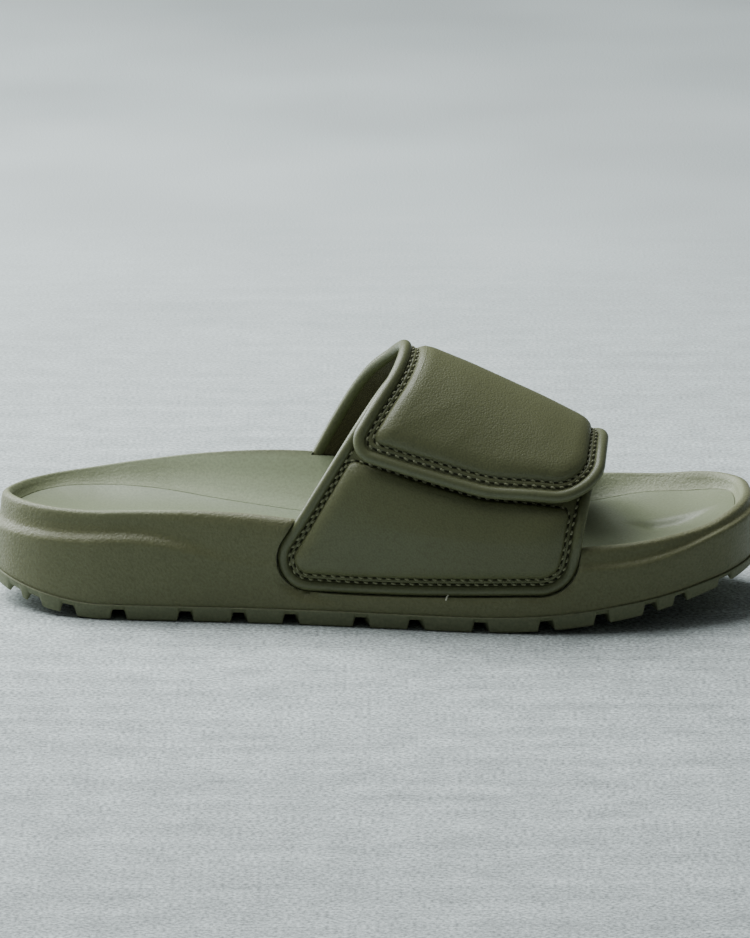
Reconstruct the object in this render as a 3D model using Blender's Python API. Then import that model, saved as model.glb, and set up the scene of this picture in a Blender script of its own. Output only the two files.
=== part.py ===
"""A right-foot slide sandal: lugged outsole, moulded midsole, insole and a padded strap in two halves.

Lengths are in metres. +X runs from heel to toe, +Y to the inner side of the foot and +Z up.
The origin lies on the floor under the middle of the sole.
"""

import math

import bmesh
import bpy
import numpy as np

MM = 0.001

# Clearance between pieces that touch
GAP = 0.3 * MM

# Sole in plan
SOLE_LENGTH = 290.0 * MM
HEEL_WIDTH = 72.0 * MM
BALL_WIDTH = 104.5 * MM

# Outsole. Places along the sole are shares of its length, here and below
OUTSOLE_THICKNESS = 6.2 * MM
OUTSOLE_TOE_THICKNESS = 4.5 * MM
TOE_THINNING_START = 0.80
OUTSOLE_INSET = 0.5 * MM
OUTSOLE_TAPER = 0.7 * MM
PARTING_CHAMFER = 0.9 * MM
TREAD_CHAMFER = 1.1 * MM
TOE_SPRING = 16.5 * MM
TOE_SPRING_START = 0.62
HEEL_BEVEL = 8.0 * MM
HEEL_BEVEL_END = 0.14
HEEL_BEVEL_POWER = 1.6
GROOVE_TOP_WIDTH = 4.4 * MM
GROOVE_MOUTH_WIDTH = 6.6 * MM
GROOVE_WAVE = 7.0 * MM

# Side and rim of the midsole. Heights are above the floor
HEEL_RIM_HEIGHT = 41.5 * MM
ARCH_RIM_HEIGHT = 49.4 * MM
BALL_RIM_HEIGHT = 32.3 * MM
TOE_RIM_HEIGHT = 41.0 * MM
SHOULDER_STEP = 2.8 * MM
RIM_WIDTH = 6.2 * MM
RIM_ROUNDING = 3.6 * MM
FOOT_ROUNDING = 2.0 * MM
LIP_DROP = 1.3 * MM
BASIN_FULLNESS = 0.35

# Footbed
HEEL_SEAT_HEIGHT = 34.3 * MM
BALL_SEAT_HEIGHT = 24.8 * MM
TOE_SEAT_HEIGHT = 37.0 * MM
FOOTBED_MARGIN = 12.0 * MM
ARCH_MARGIN = 25.0 * MM
DISH_DEPTH = 3.0 * MM
TOE_CREST_HEIGHT = 2.4 * MM
TOE_CREST_WIDTH = 9.0 * MM
TOE_CREST_ALONG = 0.775
TOE_CREST_BOW = 14.5 * MM
TOE_CREST_OFFSET = 8.4 * MM
INSOLE_THICKNESS = 3.0 * MM
INSOLE_ROUNDING = 0.6 * MM

# Last under the strap: crown heights, where they are measured, and how full each side's arch is
INSTEP_HEIGHT = 90.2 * MM
INSTEP_ALONG = 0.54
VAMP_HEIGHT = 56.4 * MM
VAMP_ALONG = 0.79
APEX_OFFSET = -3.0 * MM
STRAP_INSET = 5.6 * MM
OUTER_FULLNESS = 0.46
INNER_FULLNESS = 0.54
LAST_START = 0.30
LAST_END = 0.86

# Strap
STRAP_MARGIN_THICKNESS = 3.4 * MM
STRAP_PAD_THICKNESS = 6.25 * MM
STITCH_MARGIN = 2.8 * MM
BINDING_DIAMETER = 4.6 * MM
PATCH_THICKNESS = 1.2 * MM
HEM_HEIGHT = 13.8 * MM
FLAP_REAR_HEIGHT = 63.5 * MM
FLAP_FRONT_HEIGHT = 41.4 * MM
FLAP_CLIMB_START = -3.0
FLAP_CLIMB_END = 0.3
PATCH_PEEK = 2.2 * MM
PATCH_SETBACK = 1.5 * MM
STRAP_SPLIT = 9.0 * MM
POCKET_REACH = 14.0 * MM
PAD_ROUNDING = 6.5 * MM

# Corners of the strap's outline, seen square on
HEM_REAR_RADIUS = 12.5 * MM
HEM_FRONT_RADIUS = 14.0 * MM
HIDDEN_RADIUS = 6.0 * MM
CROWN_RADIUS = 45.0 * MM
FLAP_REAR_RADIUS = 9.0 * MM
FLAP_EDGE_RADIUS = 60.0 * MM
FLAP_FRONT_RADIUS = 18.0 * MM
LEAST_RADIUS = 3.0 * MM

# How finely the solids are cut
STATIONS = 36
HEM_POINTS = 12
OUTER_EDGE_POINTS = 10
INNER_EDGE_POINTS = 24
PATCH_EDGE_POINTS = 5
OUTER_MARGIN_STEPS = 5
INNER_MARGIN_STEPS = 1
CORNER_POINTS = 13
LEG_POINTS = 6
LAST_ROWS = 120
GIRTH_STEP = 1.0 * MM
GIRTH_REACH = 165.0 * MM
GATHER = 12.0 * MM
FACET_ROOM = 0.2 * MM
CUTTER_ROOM = 4.0 * MM


def columns(names, *rows):
    """A table as a dictionary: column name to array."""
    return dict(zip(names.split(), np.array(rows, float).T))


def smooth(x, xs, ys):
    """Value at x of a smooth curve through the points (xs, ys), level beyond the ends."""
    slopes = np.gradient(ys, xs)
    i = np.clip(np.searchsorted(xs, x) - 1, 0, len(xs) - 2)
    step = xs[i + 1] - xs[i]
    t = np.clip((x - xs[i]) / step, 0, 1)
    left = ys[i] * (1 + 2 * t) * (1 - t) ** 2 + slopes[i] * step * t * (1 - t) ** 2
    right = ys[i + 1] * t * t * (3 - 2 * t) - slopes[i + 1] * step * t * t * (1 - t)
    return left + right


def ease(value, start, end):
    """0 before start, 1 after end and a soft S between them."""
    t = np.clip((value - start) / (end - start), 0, 1)
    return t * t * (3 - 2 * t)


# Half widths of the sole: shares of the length, then of the heel width or the ball width
HEEL_OUTLINE = columns(
    "along outer inner",
    (0.022, 0.222, 0.222),
    (0.060, 0.368, 0.361),
    (0.125, 0.476, 0.456),
    (0.210, 0.525, 0.483),
    (0.315, 0.562, 0.476),
)
BALL_OUTLINE = columns(
    "along outer inner",
    (0.420, 0.426, 0.338),
    (0.525, 0.477, 0.369),
    (0.630, 0.524, 0.412),
    (0.715, 0.545, 0.445),
    (0.790, 0.527, 0.4545),
    (0.860, 0.473, 0.436),
    (0.920, 0.372, 0.384),
    (0.963, 0.268, 0.318),
    (0.990, 0.135, 0.232),
)
TOE_TIP_OFFSET = 0.055 * BALL_WIDTH


def plan_curve(samples=1600):
    """The sole's outline in plan as a dense closed curve, from the heel along the outer side."""
    along = np.concatenate([HEEL_OUTLINE["along"], BALL_OUTLINE["along"]]) * SOLE_LENGTH
    outer = np.concatenate([HEEL_OUTLINE["outer"] * HEEL_WIDTH, BALL_OUTLINE["outer"] * BALL_WIDTH])
    inner = np.concatenate([HEEL_OUTLINE["inner"] * HEEL_WIDTH, BALL_OUTLINE["inner"] * BALL_WIDTH])
    points = np.concatenate(
        [
            [(0, 0)],
            np.column_stack([along, -outer]),
            [(SOLE_LENGTH, TOE_TIP_OFFSET)],
            np.column_stack([along, inner])[::-1],
        ]
    )
    wrapped = np.concatenate([points[-3:], points, points[:3]])
    chord = np.concatenate([[0], np.cumsum(np.hypot(*np.diff(wrapped, axis=0).T))])
    t = np.linspace(chord[3], chord[-3], samples, endpoint=False)
    curve = np.column_stack([smooth(t, chord, wrapped[:, k]) for k in (0, 1)])
    low, high = curve.min(axis=0), curve.max(axis=0)
    return curve - (low + high) / 2


PLAN = plan_curve()
HEEL_END = int(np.argmin(PLAN[:, 0]))
TOE_END = int(np.argmax(PLAN[:, 0]))
OUTER_SIDE = np.roll(PLAN, -HEEL_END, axis=0)[: (TOE_END - HEEL_END) % len(PLAN) + 1]
INNER_SIDE = np.roll(PLAN, -TOE_END, axis=0)[: (HEEL_END - TOE_END) % len(PLAN) + 1][::-1]


def spread(points, count, gather=0.0):
    """count + 1 points along a line of points, evenly or gathered where it turns."""
    steps = np.diff(points, axis=0)
    turn = np.unwrap(np.arctan2(steps[:, 1], steps[:, 0]))
    turn = np.abs(np.gradient(turn)) if gather else 0
    run = np.concatenate([[0], np.cumsum(np.linalg.norm(steps, axis=1) + gather * turn)])
    at = np.linspace(0, run[-1], count + 1)
    return np.column_stack([np.interp(at, run, points[:, k]) for k in range(points.shape[1])])


def outward(ring):
    """Unit normals, pointing out, of a closed ring of points in plan."""
    tangent = np.roll(ring, -1, axis=0) - np.roll(ring, 1, axis=0)
    normal = np.column_stack([tangent[:, 1], -tangent[:, 0]])
    area = np.sum(ring[:, 0] * np.roll(ring[:, 1], -1) - np.roll(ring[:, 0], -1) * ring[:, 1])
    return normal / np.linalg.norm(normal, axis=1)[:, None] * np.sign(area)


# The ring of points round the sole: heel end, outer side, toe end, inner side
OUTER_RING = spread(OUTER_SIDE, STATIONS)
INNER_RING = spread(INNER_SIDE, STATIONS)
RING = np.concatenate([OUTER_RING, INNER_RING[-2:0:-1]])
RING_NORMAL = outward(RING)
ALONG = (RING[:, 0] + SOLE_LENGTH / 2) / SOLE_LENGTH
ON_INNER_SIDE = np.arange(len(RING)) > STATIONS


def by_side(table, outer, inner):
    """For each point of the ring, the value of its own side's column."""
    values = [smooth(ALONG, table["along"], table[name]) for name in (outer, inner)]
    return np.where(ON_INNER_SIDE, values[1], values[0])


def sole_half_width(x, inner):
    """Half width of the sole at x, signed: positive on the inner side."""
    side = INNER_SIDE if inner else OUTER_SIDE
    return np.interp(x, side[:, 0], side[:, 1])


def spine(start=0.13, end=0.89):
    """The middle line of the sole, one point for each point of the ring."""
    outer = np.concatenate([OUTER_RING, OUTER_RING[-2:0:-1]])
    inner = np.concatenate([INNER_RING, INNER_RING[-2:0:-1]])
    low, high = (start - 0.5) * SOLE_LENGTH, (end - 0.5) * SOLE_LENGTH
    x = np.clip((outer[:, 0] + inner[:, 0]) / 2, low, high)
    return np.column_stack([x, (sole_half_width(x, False) + sole_half_width(x, True)) / 2])


SPINE = spine()

# Rim of the midsole, as heights above the floor, and how deep the shoulder under it is
RIM = columns(
    "along outer inner",
    (0.00, HEEL_RIM_HEIGHT, HEEL_RIM_HEIGHT),
    (0.06, 0.985 * HEEL_RIM_HEIGHT, 1.020 * HEEL_RIM_HEIGHT),
    (0.12, 0.980 * HEEL_RIM_HEIGHT, 1.050 * HEEL_RIM_HEIGHT),
    (0.20, 1.000 * HEEL_RIM_HEIGHT, 0.938 * ARCH_RIM_HEIGHT),
    (0.28, 1.015 * HEEL_RIM_HEIGHT, 0.985 * ARCH_RIM_HEIGHT),
    (0.38, 0.975 * HEEL_RIM_HEIGHT, ARCH_RIM_HEIGHT),
    (0.50, 1.10 * BALL_RIM_HEIGHT, 0.935 * ARCH_RIM_HEIGHT),
    (0.62, 1.01 * BALL_RIM_HEIGHT, 1.205 * BALL_RIM_HEIGHT),
    (0.74, 1.00 * BALL_RIM_HEIGHT, 1.16 * BALL_RIM_HEIGHT),
    (0.82, 1.015 * BALL_RIM_HEIGHT, 1.165 * BALL_RIM_HEIGHT),
    (0.88, 1.05 * BALL_RIM_HEIGHT, 1.18 * BALL_RIM_HEIGHT),
    (0.94, 0.880 * TOE_RIM_HEIGHT, 0.985 * TOE_RIM_HEIGHT),
    (0.97, 0.940 * TOE_RIM_HEIGHT, 1.000 * TOE_RIM_HEIGHT),
    (1.00, TOE_RIM_HEIGHT, TOE_RIM_HEIGHT),
)
SHOULDER = columns(
    "along height depth",
    (0.00, 0.730 * HEEL_RIM_HEIGHT, 0.85),
    (0.10, 0.730 * HEEL_RIM_HEIGHT, 1.00),
    (0.21, 0.735 * HEEL_RIM_HEIGHT, 0.90),
    (0.25, 0.680 * HEEL_RIM_HEIGHT, 0.50),
    (0.29, 0.600 * HEEL_RIM_HEIGHT, 0.00),
    (0.50, 0.700 * BALL_RIM_HEIGHT, 0.00),
    (0.74, 0.765 * BALL_RIM_HEIGHT, 0.30),
    (0.84, 0.800 * BALL_RIM_HEIGHT, 0.62),
    (0.90, 0.715 * TOE_RIM_HEIGHT, 0.62),
    (0.95, 0.820 * TOE_RIM_HEIGHT, 0.62),
    (1.00, 0.910 * TOE_RIM_HEIGHT, 0.62),
)

# The midsole's side: shares of the height between two levels, of its rounding and of the shoulder's step
LOWER_WALL = columns(
    "height inset step",
    (0.00, 1.00, 0.00),
    (0.14, 0.40, 0.00),
    (0.50, 0.00, 0.00),
    (0.88, 0.05, 0.00),
    (1.00, 0.20, 0.25),
)
UPPER_WALL = columns(
    "height inset step",
    (0.20, 0.17, 0.80),
    (0.46, 0.22, 1.00),
    (0.74, 0.31, 0.95),
    (0.93, 0.53, 0.80),
    (1.00, 1.00, 0.60),
)

# Footbed: height on the middle line, rise at its two edges as shares of the dish, its margins
SEAT = columns(
    "along height",
    (0.00, 1.075 * HEEL_SEAT_HEIGHT),
    (0.04, 1.060 * HEEL_SEAT_HEIGHT),
    (0.12, 1.000 * HEEL_SEAT_HEIGHT),
    (0.24, 0.950 * HEEL_SEAT_HEIGHT),
    (0.34, 0.870 * HEEL_SEAT_HEIGHT),
    (0.43, 1.110 * BALL_SEAT_HEIGHT),
    (0.54, 1.035 * BALL_SEAT_HEIGHT),
    (0.66, 1.000 * BALL_SEAT_HEIGHT),
    (0.76, 1.020 * BALL_SEAT_HEIGHT),
    (0.84, 1.130 * BALL_SEAT_HEIGHT),
    (0.91, 0.850 * TOE_SEAT_HEIGHT),
    (0.97, 0.975 * TOE_SEAT_HEIGHT),
    (1.00, 1.010 * TOE_SEAT_HEIGHT),
)
DISH = columns(
    "along outer inner",
    (0.00, 0.10, 0.10),
    (0.08, 0.70, 1.15),
    (0.16, 1.00, 1.50),
    (0.28, 0.90, 1.15),
    (0.42, 0.65, 0.75),
    (0.62, 0.50, 0.60),
    (0.78, 0.70, 0.85),
    (0.87, 0.90, 1.20),
    (0.94, 0.55, 0.65),
    (1.00, 0.10, 0.10),
)
MARGIN = columns(
    "along outer inner",
    (0.00, 0.76 * FOOTBED_MARGIN, 0.76 * FOOTBED_MARGIN),
    (0.06, 0.88 * FOOTBED_MARGIN, 0.88 * FOOTBED_MARGIN),
    (0.12, 1.00 * FOOTBED_MARGIN, 1.00 * FOOTBED_MARGIN),
    (0.21, 1.00 * FOOTBED_MARGIN, 0.62 * ARCH_MARGIN),
    (0.32, 1.00 * FOOTBED_MARGIN, 0.84 * ARCH_MARGIN),
    (0.46, 1.00 * FOOTBED_MARGIN, 1.00 * ARCH_MARGIN),
    (0.58, 1.00 * FOOTBED_MARGIN, 0.84 * ARCH_MARGIN),
    (0.72, 1.00 * FOOTBED_MARGIN, 1.25 * FOOTBED_MARGIN),
    (0.84, 1.00 * FOOTBED_MARGIN, 1.10 * FOOTBED_MARGIN),
    (0.94, 0.85 * FOOTBED_MARGIN, 0.90 * FOOTBED_MARGIN),
    (1.00, 0.72 * FOOTBED_MARGIN, 0.72 * FOOTBED_MARGIN),
)

# Where the tread's grooves meet the outer side, and how deep each is
GROOVES = columns(
    "along depth",
    (0.030, 0.45),
    (0.057, 0.50),
    (0.101, 0.60),
    (0.165, 0.62),
    (0.250, 0.62),
    (0.318, 0.62),
    (0.383, 0.62),
    (0.470, 0.62),
    (0.537, 0.62),
    (0.617, 0.62),
    (0.700, 0.62),
    (0.773, 0.62),
    (0.840, 0.62),
    (0.884, 0.62),
    (0.951, 0.55),
)


def ground(x):
    """Height of the tread's underside at x: flat, with a bevel at the heel and a spring at the toe."""
    share = x / SOLE_LENGTH + 0.5
    toe = np.clip((share - TOE_SPRING_START) / (1 - TOE_SPRING_START), 0, 1) ** 2
    heel = np.clip(1 - share / HEEL_BEVEL_END, 0, 1) ** HEEL_BEVEL_POWER
    return TOE_SPRING * toe + HEEL_BEVEL * heel


def parting(x):
    """Height at x of the face between outsole and midsole."""
    share = x / SOLE_LENGTH + 0.5
    thinning = (OUTSOLE_THICKNESS - OUTSOLE_TOE_THICKNESS) * ease(share, TOE_THINNING_START, 1)
    return ground(x) + OUTSOLE_THICKNESS - thinning


def inset_ring(inset):
    """The sole's ring moved in by a distance, the same all round or one for each point."""
    return RING - RING_NORMAL * np.broadcast_to(inset, len(RING))[:, None]


def lift(ring, heights):
    """A ring in plan with a height for each point."""
    return np.column_stack([ring, np.broadcast_to(heights, len(ring))])


def towards_spine(ring, share):
    """The ring drawn in to the middle line, from 1 at the ring to 0 on the line."""
    return SPINE + (ring - SPINE) * share


def footbed_height(ring, share):
    """Height of the insole's top at points which lie a share of the way from the middle to its edge."""
    x, y = ring[:, 0], ring[:, 1]
    seat = smooth(x / SOLE_LENGTH + 0.5, SEAT["along"], SEAT["height"])
    dish = DISH_DEPTH * by_side(DISH, "outer", "inner") * share**2
    bow = TOE_CREST_BOW * np.cos(math.pi * (y + TOE_CREST_OFFSET) / BALL_WIDTH)
    crest_line = (TOE_CREST_ALONG - 0.5) * SOLE_LENGTH + bow
    crest = TOE_CREST_HEIGHT * np.exp(-(((x - crest_line) / TOE_CREST_WIDTH) ** 2)) * (1 - share**4)
    return seat + dish + crest


def material(name, colour, roughness):
    """A plain Principled material."""
    made = bpy.data.materials.new(name)
    made.use_nodes = True
    shader = made.node_tree.nodes["Principled BSDF"]
    shader.inputs["Base Color"].default_value = (*colour, 1.0)
    shader.inputs["Roughness"].default_value = roughness
    return made


def add_strip(made, near, far):
    """Triangles between two rows of vertices, each pair of neighbours cut along its shorter diagonal."""
    for a, b, c, d in zip(near, near[1:], far[1:], far):
        if (a.co - c.co).length < (b.co - d.co).length:
            made.faces.new((a, b, c))
            made.faces.new((a, c, d))
        else:
            made.faces.new((a, b, d))
            made.faces.new((b, c, d))


def solid_from_loops(name, loops, collection, finish=None, caps=()):
    """A closed solid through matching loops. Its ends close on themselves or on caps, grids of points."""
    made = bmesh.new()
    rows = [[made.verts.new(point) for point in loop] for loop in loops]
    for near, far in zip(rows, rows[1:]):
        add_strip(made, near + near[:1], far + far[:1])
    for cap in caps:
        rows = [[made.verts.new(point) for point in row] for row in cap]
        for near, far in zip(rows, rows[1:]):
            add_strip(made, near, far)
    bmesh.ops.remove_doubles(made, verts=made.verts, dist=0.005 * MM)
    bmesh.ops.recalc_face_normals(made, faces=made.faces)
    if made.calc_volume(signed=True) < 0:
        bmesh.ops.reverse_faces(made, faces=made.faces)
    mesh = bpy.data.meshes.new(name)
    made.to_mesh(mesh)
    made.free()
    mesh.shade_smooth()
    mesh.set_sharp_from_angle(angle=math.radians(40))
    if finish:
        mesh.materials.append(finish)
    thing = bpy.data.objects.new(name, mesh)
    collection.objects.link(thing)
    return thing


def cut(thing, cutter):
    """Takes the cutter's shape out of the thing."""
    modifier = thing.modifiers.new("cut_" + cutter.name, "BOOLEAN")
    modifier.operation = "DIFFERENCE"
    modifier.object = cutter


def as_cutter(thing):
    """Marks a helper, which is neither rendered nor built."""
    thing.hide_render = True
    thing.display_type = "WIRE"
    return thing


def outsole(collection, cutters):
    """Rubber tread: a thin cup with lugs between wavy cross grooves."""
    top_edge = inset_ring(OUTSOLE_INSET + PARTING_CHAMFER)
    upper_side = inset_ring(OUTSOLE_INSET)
    lower_side = inset_ring(OUTSOLE_INSET + OUTSOLE_TAPER)
    tread_edge = inset_ring(OUTSOLE_INSET + OUTSOLE_TAPER + TREAD_CHAMFER)
    top = [towards_spine(top_edge, share) for share in (0, 0.5, 1)]
    tread = [towards_spine(tread_edge, share) for share in (1, 0.5, 0)]
    loops = [lift(ring, parting(ring[:, 0]) - GAP) for ring in top]
    loops.append(lift(upper_side, parting(upper_side[:, 0]) - GAP - PARTING_CHAMFER))
    loops.append(lift(lower_side, ground(lower_side[:, 0]) + TREAD_CHAMFER))
    loops += [lift(ring, ground(ring[:, 0])) for ring in tread]
    rubber = material("outsole_rubber", (0.150, 0.155, 0.082), 0.62)
    thing = solid_from_loops("outsole", loops, collection, rubber)
    for number, (along, depth) in enumerate(zip(GROOVES["along"], GROOVES["depth"])):
        cut(thing, groove(f"groove_{number:02d}", along, depth, cutters))
    return thing


def groove(name, along, depth, collection):
    """A cutter for one groove across the tread: a trapezium swept along a wave."""
    across = np.linspace(-0.62, 0.62, 9) * BALL_WIDTH
    middle = (along - 0.5) * SOLE_LENGTH
    loops = []
    for y in across:
        x = middle + GROOVE_WAVE * 0.5 * (1 - math.cos(3 * math.pi * (y / across[0] + 1) / 2))
        roof = ground(x) + depth * (parting(x) - ground(x))
        floor = ground(x) - CUTTER_ROOM
        flare = (GROOVE_MOUTH_WIDTH - GROOVE_TOP_WIDTH) / 2 * CUTTER_ROOM / (roof - ground(x))
        half_mouth = GROOVE_MOUTH_WIDTH / 2 + flare
        half_top = GROOVE_TOP_WIDTH / 2
        section = [(-half_mouth, floor), (half_mouth, floor), (half_top, roof), (-half_top, roof)]
        loops.append(np.array([(x + dx, y, z) for dx, z in section]))
    ends = [np.repeat(loop.mean(axis=0)[None], 4, axis=0) for loop in (loops[0], loops[-1])]
    return as_cutter(solid_from_loops(name, [ends[0], *loops, ends[1]], collection))


def midsole_side():
    """Rings up the midsole's side, over its rim and down to the edge of the footbed."""
    bottom = parting(RING[:, 0])
    shoulder = smooth(ALONG, SHOULDER["along"], SHOULDER["height"])
    step = SHOULDER_STEP * smooth(ALONG, SHOULDER["along"], SHOULDER["depth"])
    rim = by_side(RIM, "outer", "inner")
    rings = []
    walls = ((LOWER_WALL, FOOT_ROUNDING, bottom, shoulder), (UPPER_WALL, RIM_ROUNDING, shoulder, rim))
    for table, rounding, low, high in walls:
        for height, inset, share in zip(table["height"], table["inset"], table["step"]):
            rings.append(lift(inset_ring(inset * rounding + share * step), low + (high - low) * height))
    margin = by_side(MARGIN, "outer", "inner")
    edge = inset_ring(margin)
    seat = footbed_height(edge, 1)
    lip_inset = RIM_WIDTH + 0.5 * step
    lip = rim - LIP_DROP
    for share in (0, 0.35, 0.7):
        drop = share * (1 + BASIN_FULLNESS * (1 - share))
        rings.append(lift(inset_ring(lip_inset + (margin - lip_inset) * share), lip + (seat - lip) * drop))
    rings.append(lift(edge, seat))
    return rings


def midsole(collection, cutters):
    """Moulded foam body with a raised rim, a seat for the insole and a pocket for each end of the strap."""
    bottom = [towards_spine(inset_ring(FOOT_ROUNDING), share) for share in (0, 0.5)]
    loops = [lift(ring, parting(ring[:, 0])) for ring in bottom]
    loops += midsole_side()
    seat_edge = inset_ring(by_side(MARGIN, "outer", "inner"))
    below = INSOLE_THICKNESS + GAP
    for share in (1, 0.6, 0):
        ring = towards_spine(seat_edge, share)
        loops.append(lift(ring, footbed_height(ring, share) - below))
    foam = material("midsole_foam", (0.165, 0.172, 0.100), 0.55)
    thing = solid_from_loops("midsole", loops, collection, foam)
    cut(thing, strap_pocket("pocket_outer", outer_strap_corners(), OUTER_EDGE_POINTS, cutters))
    cut(thing, strap_pocket("pocket_inner", inner_strap_corners(), INNER_EDGE_POINTS, cutters))
    return thing


def insole(collection):
    """Foam footbed pad, let into the midsole with its top flush with the edge of its seat."""
    margin = by_side(MARGIN, "outer", "inner") + GAP
    edge = inset_ring(margin)
    rounded_edge = inset_ring(margin + INSOLE_ROUNDING)
    seat = footbed_height(edge, 1)
    loops = []
    for share in (0, 0.3, 0.55, 0.8):
        ring = towards_spine(rounded_edge, share)
        loops.append(lift(ring, footbed_height(ring, share)))
    loops.append(lift(rounded_edge, seat))
    loops.append(lift(edge, seat - INSOLE_ROUNDING))
    for share in (1, 0.6, 0):
        ring = towards_spine(edge, share)
        loops.append(lift(ring, footbed_height(ring, share) - INSOLE_THICKNESS))
    foam = material("insole_foam", (0.235, 0.250, 0.170), 0.5)
    return solid_from_loops("insole", loops, collection, foam)


def quarter_arch(fullness, count=40):
    """A quarter of an arch from its foot (1, 0) to its crown (0, 1)."""
    t = np.linspace(0, 1, count)
    across = (1 - t) ** 3 + 3 * (1 - t) ** 2 * t + 3 * (1 - t) * t * t * fullness
    up = 3 * (1 - t) ** 2 * t * fullness + 3 * (1 - t) * t * t + t**3
    return across, up


def last_section(x):
    """The strap's inner face in the plane at x, from the outer hem over the crown to the inner hem."""
    along = x / SOLE_LENGTH + 0.5
    slope = (VAMP_HEIGHT - INSTEP_HEIGHT) / (VAMP_ALONG - INSTEP_ALONG)
    crown = INSTEP_HEIGHT + slope * (along - INSTEP_ALONG)
    halves = []
    for inner, fullness in ((False, OUTER_FULLNESS), (True, INNER_FULLNESS)):
        side = 1 if inner else -1
        leg = sole_half_width(x, inner) - side * STRAP_INSET
        spring = smooth(along, RIM["along"], RIM["inner" if inner else "outer"])
        across, up = quarter_arch(fullness)
        y = np.concatenate([np.full(LEG_POINTS, leg), APEX_OFFSET + (leg - APEX_OFFSET) * across[1:]])
        z = np.concatenate([np.linspace(0, spring, LEG_POINTS), spring + (crown - spring) * up[1:]])
        halves.append(np.column_stack([y, z]))
    return np.concatenate([halves[0], halves[1][-2::-1]]), len(halves[0]) - 1


def last_surface():
    """The last as a grid: stations, girths from the crown, points and unit normals."""
    stations = (np.linspace(LAST_START, LAST_END, LAST_ROWS) - 0.5) * SOLE_LENGTH
    girths = np.arange(-GIRTH_REACH, GIRTH_REACH + GIRTH_STEP / 2, GIRTH_STEP)
    points = np.zeros((len(stations), len(girths), 3))
    for row, x in enumerate(stations):
        section, crown = last_section(x)
        run = np.concatenate([[0], np.cumsum(np.linalg.norm(np.diff(section, axis=0), axis=1))])
        run -= run[crown]
        points[row, :, 0] = x
        points[row, :, 1] = np.interp(girths, run, section[:, 0])
        points[row, :, 2] = np.interp(girths, run, section[:, 1])
        points[row, :, 2] += np.minimum(0, girths - run[0]) - np.maximum(0, girths - run[-1])
    along = np.gradient(points, stations, axis=0)
    round_it = np.gradient(points, girths, axis=1)
    normals = np.cross(along, round_it)
    normals /= np.linalg.norm(normals, axis=2)[:, :, None]
    return stations, girths, points, normals


STATION_LIST, GIRTH_LIST, LAST_POINTS, LAST_NORMALS = last_surface()


def on_last(flat, height):
    """Points over the last: flat holds rows of (x, girth), and height is the distance off the last."""
    i = (flat[:, 0] - STATION_LIST[0]) / (STATION_LIST[1] - STATION_LIST[0])
    j = (flat[:, 1] - GIRTH_LIST[0]) / GIRTH_STEP
    i = np.clip(i, 0, len(STATION_LIST) - 1.001)
    j = np.clip(j, 0, len(GIRTH_LIST) - 1.001)
    i0, j0 = i.astype(int), j.astype(int)
    u, v = (i - i0)[:, None], (j - j0)[:, None]
    found = []
    for grid in (LAST_POINTS, LAST_NORMALS):
        near = grid[i0, j0] * (1 - v) + grid[i0, j0 + 1] * v
        far = grid[i0 + 1, j0] * (1 - v) + grid[i0 + 1, j0 + 1] * v
        found.append(near * (1 - u) + far * u)
    normals = found[1] / np.linalg.norm(found[1], axis=1)[:, None]
    return found[0] + normals * np.broadcast_to(height, len(flat))[:, None]


def true_frames(flat):
    """For each flat point a 2 by 2 matrix that turns small flat steps into true lengths on the last."""
    probe = 0.5 * MM
    here = on_last(flat, 0)
    axes = [(on_last(flat + np.array(move), 0) - here) / probe for move in ((probe, 0), (0, probe))]
    metric = np.array([[np.sum(a * b, axis=1) for a in axes] for b in axes])
    return np.linalg.cholesky(metric.transpose(2, 0, 1)).transpose(0, 2, 1)


def flat_point(along, inner, height):
    """(x, girth) of the place on one side of the last at a share of the length and a height."""
    x = (along - 0.5) * SOLE_LENGTH
    row = int(round(np.interp(x, STATION_LIST, np.arange(len(STATION_LIST)))))
    half = GIRTH_LIST >= 0 if inner else GIRTH_LIST <= 0
    heights, girths = LAST_POINTS[row, half, 2], GIRTH_LIST[half]
    order = np.argsort(heights)
    return x, float(np.interp(height, heights[order], girths[order]))


def crown_point(along, girth):
    """(x, girth) of a place near the crown."""
    return (along - 0.5) * SOLE_LENGTH, girth


def rounded_outline(corners, counts):
    """A closed outline through four sides with rounded corners.

    corners holds (point, radius, main); a side runs between two main corners and gets its count of points.
    """
    places = np.array([corner[0] for corner in corners])
    frames = true_frames(places)
    path, main_places = [], []
    for k, (place, radius, main) in enumerate(corners):
        back = frames[k] @ (places[k - 1] - places[k])
        ahead = frames[k] @ (places[(k + 1) % len(places)] - places[k])
        back_length, ahead_length = np.linalg.norm(back), np.linalg.norm(ahead)
        back, ahead = back / back_length, ahead / ahead_length
        half_angle = math.acos(np.clip(back @ ahead, -1, 1)) / 2
        reach = min(radius / math.tan(half_angle), 0.48 * back_length, 0.48 * ahead_length)
        turn = np.linspace(0, 1, CORNER_POINTS)[:, None]
        weight = math.sin(half_angle)
        arc = (1 - turn) ** 2 * reach * back + turn**2 * reach * ahead
        arc /= (1 - turn) ** 2 + 2 * turn * (1 - turn) * weight + turn**2
        arc = places[k] + np.linalg.solve(frames[k], arc.T).T
        if main:
            main_places.append(len(path) + CORNER_POINTS // 2)
        path.extend(arc)
    path = np.roll(np.array(path), -main_places[0], axis=0)
    main_places = [place - main_places[0] for place in main_places] + [len(path)]
    closed = np.concatenate([path, path[:1]])
    sides = []
    for start, end, count in zip(main_places, main_places[1:], counts):
        sides.append(spread(closed[start : end + 1], count, GATHER)[:-1])
    return np.concatenate(sides)


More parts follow.
